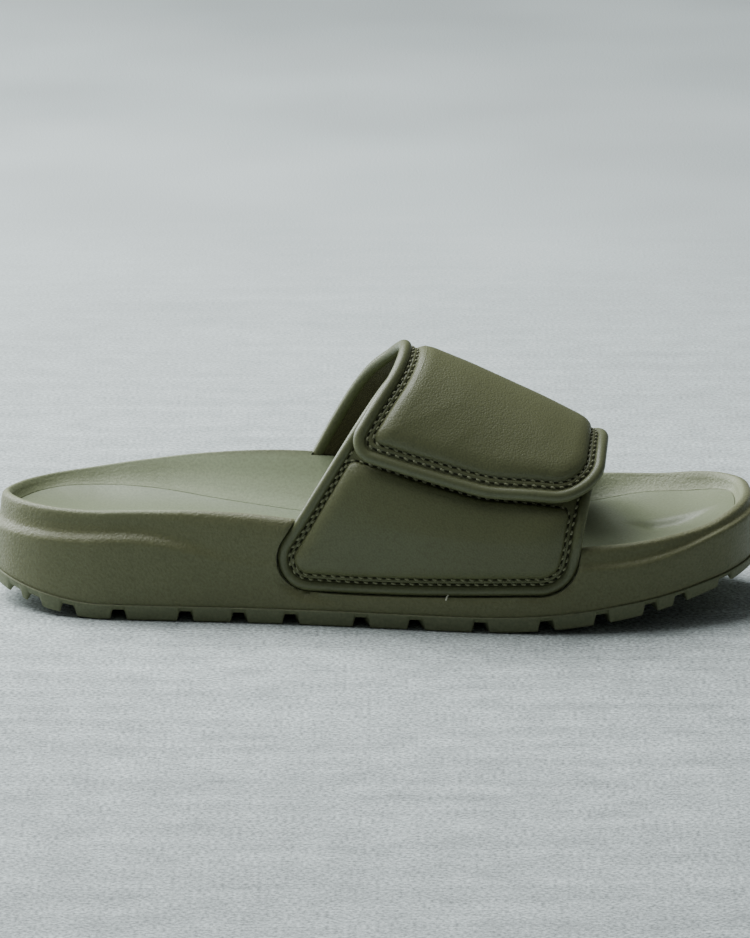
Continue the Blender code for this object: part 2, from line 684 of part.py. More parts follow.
def outer_strap_corners():
    """Outer half: rear hem, front hem, front top and rear top. The top lies hidden under the flap."""
    return (
        (flat_point(0.343, False, HEM_HEIGHT), HEM_REAR_RADIUS, True),
        (flat_point(0.7515, False, HEM_HEIGHT), HEM_FRONT_RADIUS, True),
        (crown_point(0.790, -STRAP_SPLIT), HIDDEN_RADIUS, True),
        (crown_point(0.522, -STRAP_SPLIT), HIDDEN_RADIUS, True),
    )


def inner_strap_corners():
    """Inner half: hem on the inner side, over the crown and down to the flap's end on the outer side."""
    edge_height = 0.28 * FLAP_REAR_HEIGHT + 0.72 * FLAP_FRONT_HEIGHT
    return (
        (flat_point(0.754, True, HEM_HEIGHT), HEM_FRONT_RADIUS, True),
        (flat_point(0.350, True, HEM_HEIGHT), HEM_REAR_RADIUS, True),
        (crown_point(0.538, 0), CROWN_RADIUS, False),
        (flat_point(0.458, False, FLAP_REAR_HEIGHT), FLAP_REAR_RADIUS, True),
        (flat_point(0.640, False, edge_height), FLAP_EDGE_RADIUS, False),
        (flat_point(0.782, False, FLAP_FRONT_HEIGHT), FLAP_FRONT_RADIUS, True),
        (crown_point(0.791, 0), CROWN_RADIUS, False),
    )


def inset_outline(outline, distance):
    """An outline on the flat last moved in by a distance over the surface, or out where it is negative."""
    run = np.roll(outline, -1, axis=0) - np.roll(outline, 1, axis=0)
    frames = true_frames(outline)
    true_run = np.einsum("nij,nj->ni", frames, run)
    aside = np.column_stack([true_run[:, 1], -true_run[:, 0]])
    aside /= np.linalg.norm(aside, axis=1)[:, None]
    move = np.linalg.solve(frames, aside[:, :, None])[:, :, 0]
    turn = np.sign(np.mean(np.sum(move * outward(outline), axis=1)))
    return outline - turn * move * distance


def strap_line(corners, edge_points, inset):
    """The outline through a strap piece's corners, moved in, with its corners still rounded."""
    eased = [(place, max(radius, inset + LEAST_RADIUS), main) for place, radius, main in corners]
    counts = (HEM_POINTS, edge_points, HEM_POINTS, edge_points)
    return inset_outline(rounded_outline(eased, counts), inset)


def strap_grid(outline):
    """Points inside a four-sided outline as a grid, hem by edge, whose border is the outline."""
    closed = np.concatenate([outline, outline[:1]])
    edge_points = len(outline) // 2 - HEM_POINTS
    turns = np.cumsum((0, HEM_POINTS, edge_points, HEM_POINTS, edge_points))
    hem, front, top, rear = [closed[a : b + 1] for a, b in zip(turns, turns[1:])]
    top, rear = top[::-1], rear[::-1]
    u = np.linspace(0, 1, len(hem))[:, None, None]
    v = np.linspace(0, 1, len(front))[None, :, None]
    across = (1 - v) * hem[:, None] + v * top[:, None]
    up = (1 - u) * rear[None] + u * front[None]
    corners = (1 - u) * ((1 - v) * hem[0] + v * top[0]) + u * ((1 - v) * hem[-1] + v * top[-1])
    return across + up - corners


def grid_on_last(outline, height):
    """A grid of points over the last inside an outline; height is a function of the flat points."""
    grid = strap_grid(outline)
    flat = grid.reshape(-1, 2)
    return on_last(flat, height(flat)).reshape(*grid.shape[:2], 3)


FLAP_LIFT = max(BINDING_DIAMETER + GAP, STRAP_MARGIN_THICKNESS + PATCH_THICKNESS + 2 * GAP) + FACET_ROOM


def flap_lift(flat):
    """How far the inner half stands off the last: it climbs over the outer half's hidden top."""
    return FLAP_LIFT * ease(-flat[:, 1], FLAP_CLIMB_START * STRAP_SPLIT, FLAP_CLIMB_END * STRAP_SPLIT)


def no_lift(flat):
    """The outer half lies on the last."""
    return np.zeros(len(flat))


# How the pad rises from the stitched margin: shares of its rounding and of its own height
PAD_PROFILE = columns(
    "inset height",
    (0.0, 0.00),
    (0.4, 0.65),
    (1.0, 1.00),
)


def strap_solid(name, corners, pad_corners, counts, base_lift, collection, finish):
    """A strap piece: thin stitched margin, padded field and a plain inner face."""
    edge_points, margin_steps = counts
    low = STRAP_MARGIN_THICKNESS
    rise = STRAP_PAD_THICKNESS - STRAP_MARGIN_THICKNESS
    border = BINDING_DIAMETER + GAP
    panel = strap_line(corners, edge_points, border)
    insets = border + STITCH_MARGIN + PAD_PROFILE["inset"] * PAD_ROUNDING
    pad = [strap_line(pad_corners, edge_points, inset) for inset in insets]
    heights = [(panel, 0)]
    heights += [(panel + (pad[0] - panel) * share, low) for share in np.linspace(0, 1, margin_steps + 1)]
    heights += list(zip(pad[1:], low + rise * PAD_PROFILE["height"][1:]))
    loops = [on_last(flat, base_lift(flat) + height) for flat, height in heights]
    lining = grid_on_last(panel, base_lift)
    face = grid_on_last(pad[-1], lambda flat: base_lift(flat) + STRAP_PAD_THICKNESS)
    return solid_from_loops(name, loops, collection, finish, (lining, face))


def flap_edge_corners(above):
    """Front and rear corner on the outer half's two edges, a distance above the flap's free edge."""
    corners = outer_strap_corners()
    found = []
    for low, high, along, height in ((1, 2, 0.78, FLAP_FRONT_HEIGHT), (0, 3, 0.43, FLAP_REAR_HEIGHT)):
        start, end = np.array(corners[low][0]), np.array(corners[high][0])
        girth = flat_point(along, False, height)[1] + above
        share = (girth - start[1]) / (end[1] - start[1])
        found.append((start + (end - start) * share, HIDDEN_RADIUS, True))
    return found


def strap_outer(collection, finish):
    """Outer half: its padded field ends at the fastener's seam, just under the flap's edge."""
    corners = outer_strap_corners()
    seam = flap_edge_corners(BINDING_DIAMETER + GAP + STITCH_MARGIN - PATCH_PEEK)
    pad_corners = (corners[0], corners[1], *seam)
    counts = (OUTER_EDGE_POINTS, OUTER_MARGIN_STEPS)
    return strap_solid("strap_outer", corners, pad_corners, counts, no_lift, collection, finish)


def strap_inner(collection, finish):
    """Inner half with the flap that closes over the outer half."""
    corners = inner_strap_corners()
    counts = (INNER_EDGE_POINTS, INNER_MARGIN_STEPS)
    return strap_solid("strap_inner", corners, corners, counts, flap_lift, collection, finish)


def fastener_patch(collection):
    """Hook-and-loop patch sewn on the outer half, under the flap."""
    border = BINDING_DIAMETER + GAP + PATCH_SETBACK
    front, rear = flap_edge_corners(border)
    outline = strap_line((rear, front, *outer_strap_corners()[2:]), PATCH_EDGE_POINTS, border)
    base = STRAP_MARGIN_THICKNESS + GAP
    heights = (base, base + PATCH_THICKNESS)
    loops = [on_last(outline, height) for height in heights]
    caps = [grid_on_last(outline, lambda flat, height=height: height) for height in heights]
    tape = material("loop_tape", (0.060, 0.062, 0.036), 0.9)
    return solid_from_loops("fastener_patch", loops, collection, tape, caps)


def binding(name, corners, edge_points, base_lift, collection, finish):
    """Rolled edge tape all round a strap piece."""
    flat = strap_line(corners, edge_points, BINDING_DIAMETER / 2)
    path = on_last(flat, base_lift(flat) + BINDING_DIAMETER / 2)
    curve = bpy.data.curves.new(name, "CURVE")
    curve.dimensions = "3D"
    curve.bevel_depth = BINDING_DIAMETER / 2
    curve.bevel_resolution = 2
    spline = curve.splines.new("POLY")
    spline.points.add(len(path) - 1)
    for point, place in zip(spline.points, path):
        point.co = (*place, 1)
    spline.use_cyclic_u = True
    curve.materials.append(finish)
    thing = bpy.data.objects.new(name, curve)
    collection.objects.link(thing)
    return thing


def strap_pocket(name, corners, edge_points, collection):
    """Cutter for the pocket in the midsole's side that one end of the strap sits in."""
    wide = strap_line(corners, edge_points, -GAP)
    heights = (-GAP, POCKET_REACH)
    loops = [on_last(wide, height) for height in heights]
    caps = [grid_on_last(wide, lambda flat, height=height: height) for height in heights]
    return as_cutter(solid_from_loops(name, loops, collection, caps=caps))


def build():
    """Clears the scene and builds the sandal."""
    for thing in list(bpy.data.objects):
        bpy.data.objects.remove(thing)
    sandal = bpy.data.collections.new("slide_sandal")
    cutters = bpy.data.collections.new("cutters")
    for collection in (sandal, cutters):
        bpy.context.scene.collection.children.link(collection)
    leather = material("strap_leather", (0.098, 0.100, 0.055), 0.5)
    tape = material("binding_leather", (0.115, 0.118, 0.066), 0.45)
    outsole(sandal, cutters)
    midsole(sandal, cutters)
    insole(sandal)
    strap_outer(sandal, leather)
    strap_inner(sandal, leather)
    fastener_patch(sandal)
    binding("binding_outer", outer_strap_corners(), OUTER_EDGE_POINTS, no_lift, sandal, tape)
    binding("binding_inner", inner_strap_corners(), INNER_EDGE_POINTS, flap_lift, sandal, tape)


build()
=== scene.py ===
"""Looks of a right-foot slide sandal: lugged tread, moulded foam sole and a padded strap with a flap.

Lengths are in metres. +X runs from heel to toe, +Y to the inner side of the foot and +Z up.
"""

import math

import bmesh
import bpy
import numpy as np
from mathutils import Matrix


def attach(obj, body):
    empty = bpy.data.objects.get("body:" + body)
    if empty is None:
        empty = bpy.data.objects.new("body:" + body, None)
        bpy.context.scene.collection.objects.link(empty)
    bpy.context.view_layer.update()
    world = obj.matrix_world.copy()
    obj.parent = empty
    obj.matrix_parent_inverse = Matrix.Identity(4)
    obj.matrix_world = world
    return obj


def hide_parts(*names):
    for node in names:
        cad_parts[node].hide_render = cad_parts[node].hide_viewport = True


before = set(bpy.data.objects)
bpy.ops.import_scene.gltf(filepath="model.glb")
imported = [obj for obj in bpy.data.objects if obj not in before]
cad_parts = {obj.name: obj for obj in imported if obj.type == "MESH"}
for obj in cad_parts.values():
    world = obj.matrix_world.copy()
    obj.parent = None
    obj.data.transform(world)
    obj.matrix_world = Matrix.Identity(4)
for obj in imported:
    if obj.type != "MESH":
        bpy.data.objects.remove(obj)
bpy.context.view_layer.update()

# Outsole. A lugged tread of solid rubber, pressed in a steel mould and cemented under the foam.
# Its top edge stands out by a hair and shows as a fine light line round the sole.

MM = 0.001
SOLE_LENGTH = 290.0 * MM
HEEL_WIDTH = 72.0 * MM
BALL_WIDTH = 104.5 * MM
OUTSOLE_THICKNESS = 6.2 * MM
OUTSOLE_TOE_THICKNESS = 4.5 * MM
TOE_THINNING_START = 0.80
OUTSOLE_INSET = -0.45 * MM
OUTSOLE_TAPER = 0.8 * MM
TOP_EDGE_RADIUS = 0.45 * MM
TREAD_EDGE_RADIUS = 1.1 * MM
HIDDEN_TOP_INSET = 2.0 * MM
TOE_SPRING = 16.5 * MM
TOE_SPRING_START = 0.62
HEEL_BEVEL = 8.0 * MM
HEEL_BEVEL_END = 0.14
HEEL_BEVEL_POWER = 1.6
GROOVE_TOP_WIDTH = 4.4 * MM
GROOVE_MOUTH_WIDTH = 6.6 * MM
GROOVE_WAVE = 7.0 * MM
GROOVE_REACH = 0.62 * BALL_WIDTH
GAP = 0.3 * MM
OUTSOLE_POINTS = 1800
SPINE_START = 0.13
SPINE_END = 0.89
SPINE_STEP = 1.0 * MM
TREAD_ROWS = 22
# How much paler the sole's inside is painted in red, green and blue, a painted sheen of the light from
# above, and how much pebble is left there
PAINTED_SHEEN_TONE = (2.05, 2.30, 3.00, 1)
POLISHED_PEBBLE = 0.12
MULTIPLY = {"data_type": "RGBA", "blend_type": "MULTIPLY", 0: 1.0}


def columns(names, *rows):
    """A table as a dictionary: column name to array."""
    return dict(zip(names.split(), np.array(rows, float).T))


def smooth(x, xs, ys):
    """Value at x of a smooth curve through the points (xs, ys), level beyond the ends."""
    slopes = np.gradient(ys, xs)
    i = np.clip(np.searchsorted(xs, x) - 1, 0, len(xs) - 2)
    step = xs[i + 1] - xs[i]
    t = np.clip((x - xs[i]) / step, 0, 1)
    left = ys[i] * (1 + 2 * t) * (1 - t) ** 2 + slopes[i] * step * t * (1 - t) ** 2
    right = ys[i + 1] * t * t * (3 - 2 * t) - slopes[i + 1] * step * t * t * (1 - t)
    return left + right


def ease(value, start, end):
    """0 before start, 1 after end and a soft S between them."""
    t = np.clip((value - start) / (end - start), 0, 1)
    return t * t * (3 - 2 * t)


# Half widths of the sole: shares of the length, then of the heel width or the ball width
HEEL_OUTLINE = columns(
    "along outer inner",
    (0.022, 0.222, 0.222),
    (0.060, 0.368, 0.361),
    (0.125, 0.476, 0.456),
    (0.210, 0.525, 0.483),
    (0.315, 0.562, 0.476),
)
BALL_OUTLINE = columns(
    "along outer inner",
    (0.420, 0.426, 0.338),
    (0.525, 0.477, 0.369),
    (0.630, 0.524, 0.412),
    (0.715, 0.545, 0.445),
    (0.790, 0.527, 0.4545),
    (0.860, 0.473, 0.436),
    (0.920, 0.372, 0.384),
    (0.963, 0.268, 0.318),
    (0.990, 0.135, 0.232),
)
TOE_TIP_OFFSET = 0.055 * BALL_WIDTH

# Where the tread's grooves meet the outer side, and how deep each is
GROOVES = columns(
    "along depth",
    (0.030, 0.45),
    (0.057, 0.50),
    (0.101, 0.60),
    (0.165, 0.62),
    (0.250, 0.62),
    (0.318, 0.62),
    (0.383, 0.62),
    (0.470, 0.62),
    (0.537, 0.62),
    (0.617, 0.62),
    (0.700, 0.62),
    (0.773, 0.62),
    (0.840, 0.62),
    (0.884, 0.62),
    (0.951, 0.55),
)


def plan_curve(samples=16000):
    """The sole's outline in plan as a dense closed curve, from the heel along the outer side."""
    along = np.concatenate([HEEL_OUTLINE["along"], BALL_OUTLINE["along"]]) * SOLE_LENGTH
    outer = np.concatenate([HEEL_OUTLINE["outer"] * HEEL_WIDTH, BALL_OUTLINE["outer"] * BALL_WIDTH])
    inner = np.concatenate([HEEL_OUTLINE["inner"] * HEEL_WIDTH, BALL_OUTLINE["inner"] * BALL_WIDTH])
    points = np.concatenate(
        [
            [(0, 0)],
            np.column_stack([along, -outer]),
            [(SOLE_LENGTH, TOE_TIP_OFFSET)],
            np.column_stack([along, inner])[::-1],
        ]
    )
    wrapped = np.concatenate([points[-3:], points, points[:3]])
    chord = np.concatenate([[0], np.cumsum(np.hypot(*np.diff(wrapped, axis=0).T))])
    t = np.linspace(chord[3], chord[-3], samples, endpoint=False)
    curve = np.column_stack([smooth(t, chord, wrapped[:, k]) for k in (0, 1)])
    low, high = curve.min(axis=0), curve.max(axis=0)
    return curve - (low + high) / 2


PLAN = plan_curve()
HEEL_END = int(np.argmin(PLAN[:, 0]))
PLAN = np.roll(PLAN, -HEEL_END, axis=0)
TOE_END = int(np.argmax(PLAN[:, 0]))
OUTER_SIDE = PLAN[: TOE_END + 1]
INNER_SIDE = np.concatenate([PLAN[TOE_END:], PLAN[:1]])[::-1]


def spread(points, count):
    """count + 1 points evenly along a line of points."""
    run = np.concatenate([[0], np.cumsum(np.linalg.norm(np.diff(points, axis=0), axis=1))])
    at = np.linspace(0, run[-1], count + 1)
    return np.column_stack([np.interp(at, run, points[:, k]) for k in range(points.shape[1])])


def sole_half_width(x, inner):
    """Half width of the sole at x, signed: positive on the inner side."""
    side = INNER_SIDE if inner else OUTER_SIDE
    return np.interp(x, side[:, 0], side[:, 1])


def ground(x):
    """Height of the tread's underside at x: flat, with a bevel at the heel and a spring at the toe."""
    share = x / SOLE_LENGTH + 0.5
    toe = np.clip((share - TOE_SPRING_START) / (1 - TOE_SPRING_START), 0, 1) ** 2
    heel = np.clip(1 - share / HEEL_BEVEL_END, 0, 1) ** HEEL_BEVEL_POWER
    return TOE_SPRING * toe + HEEL_BEVEL * heel


def parting(x):
    """Height at x of the face between outsole and midsole."""
    share = x / SOLE_LENGTH + 0.5
    thinning = (OUTSOLE_THICKNESS - OUTSOLE_TOE_THICKNESS) * ease(share, TOE_THINNING_START, 1)
    return ground(x) + OUTSOLE_THICKNESS - thinning


def tread(x, y):
    """Height of the tread at (x, y), with its wavy cross grooves."""
    height = ground(x)
    thickness = parting(x) - height
    wave = GROOVE_WAVE / 2 * (1 - np.cos(1.5 * math.pi * (1 - y / GROOVE_REACH)))
    cut = np.zeros_like(x)
    for along, depth in zip(GROOVES["along"], GROOVES["depth"]):
        away = np.abs(x - (along - 0.5) * SOLE_LENGTH - wave)
        flank = np.clip((GROOVE_MOUTH_WIDTH / 2 - away) / (GROOVE_MOUTH_WIDTH - GROOVE_TOP_WIDTH) * 2, 0, 1)
        cut = np.maximum(cut, depth * (0.6 * flank + 0.4 * ease(flank, 0, 1)))
    return height + thickness * cut


class Ring:
    """Points round the sole in plan, with their outward normals and their place on its middle line."""

    def __init__(self, points):
        self.points = points
        run = np.roll(points, -1, axis=0) - np.roll(points, 1, axis=0)
        normal = np.column_stack([run[:, 1], -run[:, 0]])
        self.normal = normal / np.linalg.norm(normal, axis=1)[:, None]
        if np.sum(self.normal[:, 0] * points[:, 0]) < 0:
            self.normal = -self.normal
        self.along = points[:, 0] / SOLE_LENGTH + 0.5
        ends = [-SOLE_LENGTH / 2, SOLE_LENGTH / 2]
        self.inner = points[:, 1] > np.interp(points[:, 0], ends, [0, TOE_TIP_OFFSET])
        x = np.clip(points[:, 0], (SPINE_START - 0.5) * SOLE_LENGTH, (SPINE_END - 0.5) * SOLE_LENGTH)
        self.spine = self.middle_line(x)
        self.closed_spine = self.middle_line(np.round(x / SPINE_STEP) * SPINE_STEP)

    def middle_line(self, x):
        """Points on the sole's middle line at x."""
        return np.column_stack([x, (sole_half_width(x, False) + sole_half_width(x, True)) / 2])

    def inset(self, distance):
        """The ring moved in by a distance, the same all round or one for each point."""
        return self.points - self.normal * np.broadcast_to(distance, len(self.points))[:, None]

    def inward(self, ring, share):
        """A ring drawn in to the middle line: 1 at the ring, 0 on the line, where both sides meet."""
        return self.closed_spine if share == 0 else self.spine + (ring - self.spine) * share

    def by_side(self, table, outer="outer", inner="inner"):
        """For each point, the value of its own side's column."""
        values = [smooth(self.along, table["along"], table[name]) for name in (outer, inner)]
        return np.where(self.inner, values[1], values[0])


def lift(ring, heights):
    """A ring in plan with a height for each point."""
    return np.column_stack([ring, np.broadcast_to(heights, len(ring))])


def piece_from_faces(name, points, faces, sharp=40, merge=0.003 * MM, lined=None):
    """A smooth-shaded object from points and faces, facing out. Faces from lined on are the lining."""
    mesh = bpy.data.meshes.new(name)
    mesh.from_pydata(points.tolist(), [], faces)
    if lined is not None:
        mesh.polygons.foreach_set("material_index", [int(k >= lined) for k in range(len(faces))])
    made = bmesh.new()
    made.from_mesh(mesh)
    bmesh.ops.remove_doubles(made, verts=made.verts, dist=merge)
    bmesh.ops.recalc_face_normals(made, faces=made.faces)
    if made.calc_volume(signed=True) < 0:
        bmesh.ops.reverse_faces(made, faces=made.faces)
    made.to_mesh(mesh)
    made.free()
    mesh.shade_smooth()
    mesh.set_sharp_from_angle(angle=math.radians(sharp))
    piece = bpy.data.objects.new(name, mesh)
    bpy.context.scene.collection.objects.link(piece)
    return piece


def ring_faces(rows, count, first=0):
    """Quads between closed rows of points that follow each other."""
    faces = []
    for row in range(rows - 1):
        for k in range(count):
            a, b = first + row * count + k, first + row * count + (k + 1) % count
            faces.append((a, b, b + count, a + count))
    return faces


def linear(code):
    """An sRGB hex colour as linear RGBA."""
    values = [int(code[k : k + 2], 16) / 255 for k in (1, 3, 5)]
    return (*[v / 12.92 if v <= 0.04045 else ((v + 0.055) / 1.055) ** 2.4 for v in values], 1.0)


def add(tree, kind, settings=None, links=None):
    """Adds a shader node. settings holds attributes and socket values, links holds nodes or sockets."""
    node = tree.nodes.new("ShaderNode" + kind)
    for name, value in (settings or {}).items():
        if isinstance(name, str) and hasattr(node, name):
            setattr(node, name, value)
        else:
            node.inputs[name].default_value = value
    for name, source in (links or {}).items():
        tree.links.new(getattr(source, "outputs", [source])[0], node.inputs[name])
    return node


def new_material(name, **sockets):
    """A Principled material, its tree and its shader, with the constants set on the shader."""
    material = bpy.data.materials.new(name)
    material.use_nodes = True
    shader = material.node_tree.nodes["Principled BSDF"]
    for socket, value in sockets.items():
        shader.inputs[socket.replace("_", " ")].default_value = value
    return material, material.node_tree, shader


def moulded(name, light, dark, cell, depth, roughness, sockets, fine=0.35, seed=(0, 0, 0)):
    """Moulded foam or rubber: an orange-peel skin of rounded cells with finer grain on it."""
    material, tree, shader = new_material(name, **sockets)
    place = add(tree, "TexCoord").outputs["Object"]
    place = add(tree, "Mapping", {"Location": seed}, {"Vector": place})
    cloud = add(tree, "TexNoise", {"Scale": 1 / (38 * MM), "Detail": 3}, {"Vector": place})
    pebble = add(tree, "TexNoise", {"Scale": 1 / cell, "Detail": 1.5, "Roughness": 0.45}, {"Vector": place})
    grain = add(tree, "TexNoise", {"Scale": 4.5 / cell, "Detail": 2}, {"Vector": place})
    mixed = add(tree, "Mix", {"data_type": "RGBA", 6: linear(dark), 7: linear(light)}, {0: cloud})
    # Painted shade in the pebble's hollows, and a touch of painted light on its tops
    pits = add(tree, "MapRange", {1: 0.3, 2: 0.7, 3: 0.86, 4: 1.05}, {0: pebble})
    shade = add(tree, "Mix", MULTIPLY, {6: mixed.outputs[2], 7: pits})
    # Painted sheen: the marked inside of the sole is drawn paler, as if lit more from above
    inside = add(tree, "Attribute", {"attribute_name": "inside"}).outputs["Fac"]
    paler = add(tree, "Mix", {"data_type": "RGBA", 6: (1, 1, 1, 1), 7: PAINTED_SHEEN_TONE}, {0: inside})
    shade = add(tree, "Mix", MULTIPLY, {6: shade.outputs[2], 7: paler.outputs[2]})
    tree.links.new(shade.outputs[2], shader.inputs["Base Color"])
    gloss = add(tree, "MapRange", {1: 0.3, 2: 0.7, 3: roughness + 0.06, 4: roughness - 0.06}, {0: pebble})
    tree.links.new(gloss.outputs[0], shader.inputs["Roughness"])
    calm = add(tree, "MapRange", {1: 0.0, 2: 1.0, 3: 1.0, 4: POLISHED_PEBBLE}, {0: inside})
    skin = add(tree, "Bump", {"Distance": depth}, {"Height": pebble, "Strength": calm})
    skin = add(tree, "Bump", {"Distance": depth * fine, "Strength": 1.0}, {"Height": grain, "Normal": skin})
    tree.links.new(skin.outputs[0], shader.inputs["Normal"])
    return material


def tread_rings():
    """Closed rings of the outsole: hidden top, rounded top edge, side, rounded lower edge and tread."""
    dense = lift(PLAN, tread(PLAN[:, 0], PLAN[:, 1]))
    ring = Ring(spread(np.concatenate([dense, dense[:1]]), OUTSOLE_POINTS)[:-1, :2])
    top = parting(ring.points[:, 0]) - GAP / 3
    rings = []
    for share in (0, 0.5, 1):
        flat = ring.inward(ring.inset(OUTSOLE_INSET + HIDDEN_TOP_INSET), share)
        rings.append(lift(flat, parting(flat[:, 0]) - GAP / 3))
    turns = np.linspace(0, math.pi / 2, 4)
    for turn in turns:
        inset = OUTSOLE_INSET + TOP_EDGE_RADIUS * (1 - math.sin(turn))
        rings.append(lift(ring.inset(inset), top - TOP_EDGE_RADIUS * (1 - math.cos(turn))))
    edge = ring.inset(OUTSOLE_INSET + OUTSOLE_TAPER)
    low = tread(edge[:, 0], edge[:, 1]) + TREAD_EDGE_RADIUS
    high = top - TOP_EDGE_RADIUS
    for share in (0.35, 0.7, 1):
        rings.append(lift(ring.inset(OUTSOLE_INSET + OUTSOLE_TAPER * share), high + (low - high) * share))
    for turn in turns[1:]:
        inset = OUTSOLE_INSET + OUTSOLE_TAPER + TREAD_EDGE_RADIUS * (1 - math.cos(turn))
        rings.append(lift(ring.inset(inset), low - TREAD_EDGE_RADIUS * math.sin(turn)))
    last = ring.inset(OUTSOLE_INSET + OUTSOLE_TAPER + TREAD_EDGE_RADIUS)
    for share in np.linspace(1, 0, TREAD_ROWS)[1:]:
        flat = ring.inward(last, share)
        rings.append(lift(flat, tread(flat[:, 0], flat[:, 1])))
    return rings


# Solid rubber with a mould's matt skin: a little duller and darker than the foam above it
tread_rubber = moulded(
    "moulded_rubber",
    "#737759",
    "#696d50",
    cell=1.1 * MM,
    depth=0.10 * MM,
    roughness=0.62,
    sockets={"IOR": 1.5, "Specular_IOR_Level": 0.45},
)
rings = tread_rings()
outsole = piece_from_faces("outsole_tread", np.concatenate(rings), ring_faces(len(rings), OUTSOLE_POINTS))
outsole.data.materials.append(tread_rubber)
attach(outsole, "root")
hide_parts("outsole")

# Last. The strap's inner face follows the foot's last: upright at the sole's sides, then an arch
# over the instep. Every strap piece and the sole's two pockets are laid out on it.

HEEL_RIM_HEIGHT = 41.5 * MM
ARCH_RIM_HEIGHT = 49.4 * MM
BALL_RIM_HEIGHT = 32.3 * MM
TOE_RIM_HEIGHT = 41.0 * MM
INSTEP_HEIGHT = 90.2 * MM
INSTEP_ALONG = 0.54
VAMP_HEIGHT = 56.4 * MM
VAMP_ALONG = 0.79
APEX_OFFSET = -3.0 * MM
STRAP_INSET = 5.6 * MM
OUTER_FULLNESS = 0.46
INNER_FULLNESS = 0.54
LAST_START = 0.30
LAST_END = 0.86
LAST_ROWS = 180
LEG_POINTS = 8
GIRTH_STEP = 1.0 * MM
GIRTH_REACH = 165.0 * MM
HEM_HEIGHT = 13.8 * MM
OUTER_HEM_REAR = 0.343
OUTER_HEM_FRONT = 0.7515
OUTER_TOP_REAR = 0.522
OUTER_TOP_FRONT = 0.790
INNER_HEM_REAR = 0.350
INNER_HEM_FRONT = 0.754
CROWN_REAR = 0.538
CROWN_FRONT = 0.791
FLAP_REAR = 0.458
FLAP_MIDDLE = 0.640
FLAP_FRONT = 0.782
FLAP_REAR_HEIGHT = 63.5 * MM
FLAP_FRONT_HEIGHT = 41.4 * MM
FLAP_EDGE_SHARE = 0.72
STRAP_SPLIT = 9.0 * MM
HEM_REAR_RADIUS = 12.5 * MM
HEM_FRONT_RADIUS = 14.0 * MM
HIDDEN_RADIUS = 6.0 * MM
CROWN_RADIUS = 45.0 * MM
FLAP_REAR_RADIUS = 9.0 * MM
FLAP_EDGE_RADIUS = 60.0 * MM
FLAP_FRONT_RADIUS = 18.0 * MM
LEAST_RADIUS = 3.0 * MM
CORNER_POINTS = 33
HEM_POINTS = 120
OUTER_EDGE_POINTS = 110
INNER_EDGE_POINTS = 190

RIM = columns(
    "along outer inner",
    (0.00, HEEL_RIM_HEIGHT, HEEL_RIM_HEIGHT),
    (0.06, 0.985 * HEEL_RIM_HEIGHT, 1.020 * HEEL_RIM_HEIGHT),
    (0.12, 0.980 * HEEL_RIM_HEIGHT, 1.050 * HEEL_RIM_HEIGHT),
    (0.20, 1.000 * HEEL_RIM_HEIGHT, 0.938 * ARCH_RIM_HEIGHT),
    (0.28, 1.015 * HEEL_RIM_HEIGHT, 0.985 * ARCH_RIM_HEIGHT),
    (0.38, 0.975 * HEEL_RIM_HEIGHT, ARCH_RIM_HEIGHT),
    (0.50, 1.10 * BALL_RIM_HEIGHT, 0.935 * ARCH_RIM_HEIGHT),
    (0.62, 1.01 * BALL_RIM_HEIGHT, 1.205 * BALL_RIM_HEIGHT),
    (0.74, 1.00 * BALL_RIM_HEIGHT, 1.16 * BALL_RIM_HEIGHT),
    (0.82, 1.015 * BALL_RIM_HEIGHT, 1.165 * BALL_RIM_HEIGHT),
    (0.88, 1.05 * BALL_RIM_HEIGHT, 1.18 * BALL_RIM_HEIGHT),
    (0.94, 0.880 * TOE_RIM_HEIGHT, 0.985 * TOE_RIM_HEIGHT),
    (0.97, 0.940 * TOE_RIM_HEIGHT, 1.000 * TOE_RIM_HEIGHT),
    (1.00, TOE_RIM_HEIGHT, TOE_RIM_HEIGHT),
)


def quarter_arch(fullness, count=60):
    """A quarter of an arch from its foot (1, 0) to its crown (0, 1)."""
    t = np.linspace(0, 1, count)
    across = (1 - t) ** 3 + 3 * (1 - t) ** 2 * t + 3 * (1 - t) * t * t * fullness
    up = 3 * (1 - t) ** 2 * t * fullness + 3 * (1 - t) * t * t + t**3
    return across, up


def last_section(x):
    """The strap's inner face in the plane at x, from the outer hem over the crown to the inner hem."""
    along = x / SOLE_LENGTH + 0.5
    slope = (VAMP_HEIGHT - INSTEP_HEIGHT) / (VAMP_ALONG - INSTEP_ALONG)
    crown = INSTEP_HEIGHT + slope * (along - INSTEP_ALONG)
    halves = []
    for inner, fullness in ((False, OUTER_FULLNESS), (True, INNER_FULLNESS)):
        side = 1 if inner else -1
        leg = sole_half_width(x, inner) - side * STRAP_INSET
        spring = smooth(along, RIM["along"], RIM["inner" if inner else "outer"])
        across, up = quarter_arch(fullness)
        y = np.concatenate([np.full(LEG_POINTS, leg), APEX_OFFSET + (leg - APEX_OFFSET) * across[1:]])
        z = np.concatenate([np.linspace(0, spring, LEG_POINTS), spring + (crown - spring) * up[1:]])
        halves.append(np.column_stack([y, z]))
    return np.concatenate([halves[0], halves[1][-2::-1]]), len(halves[0]) - 1


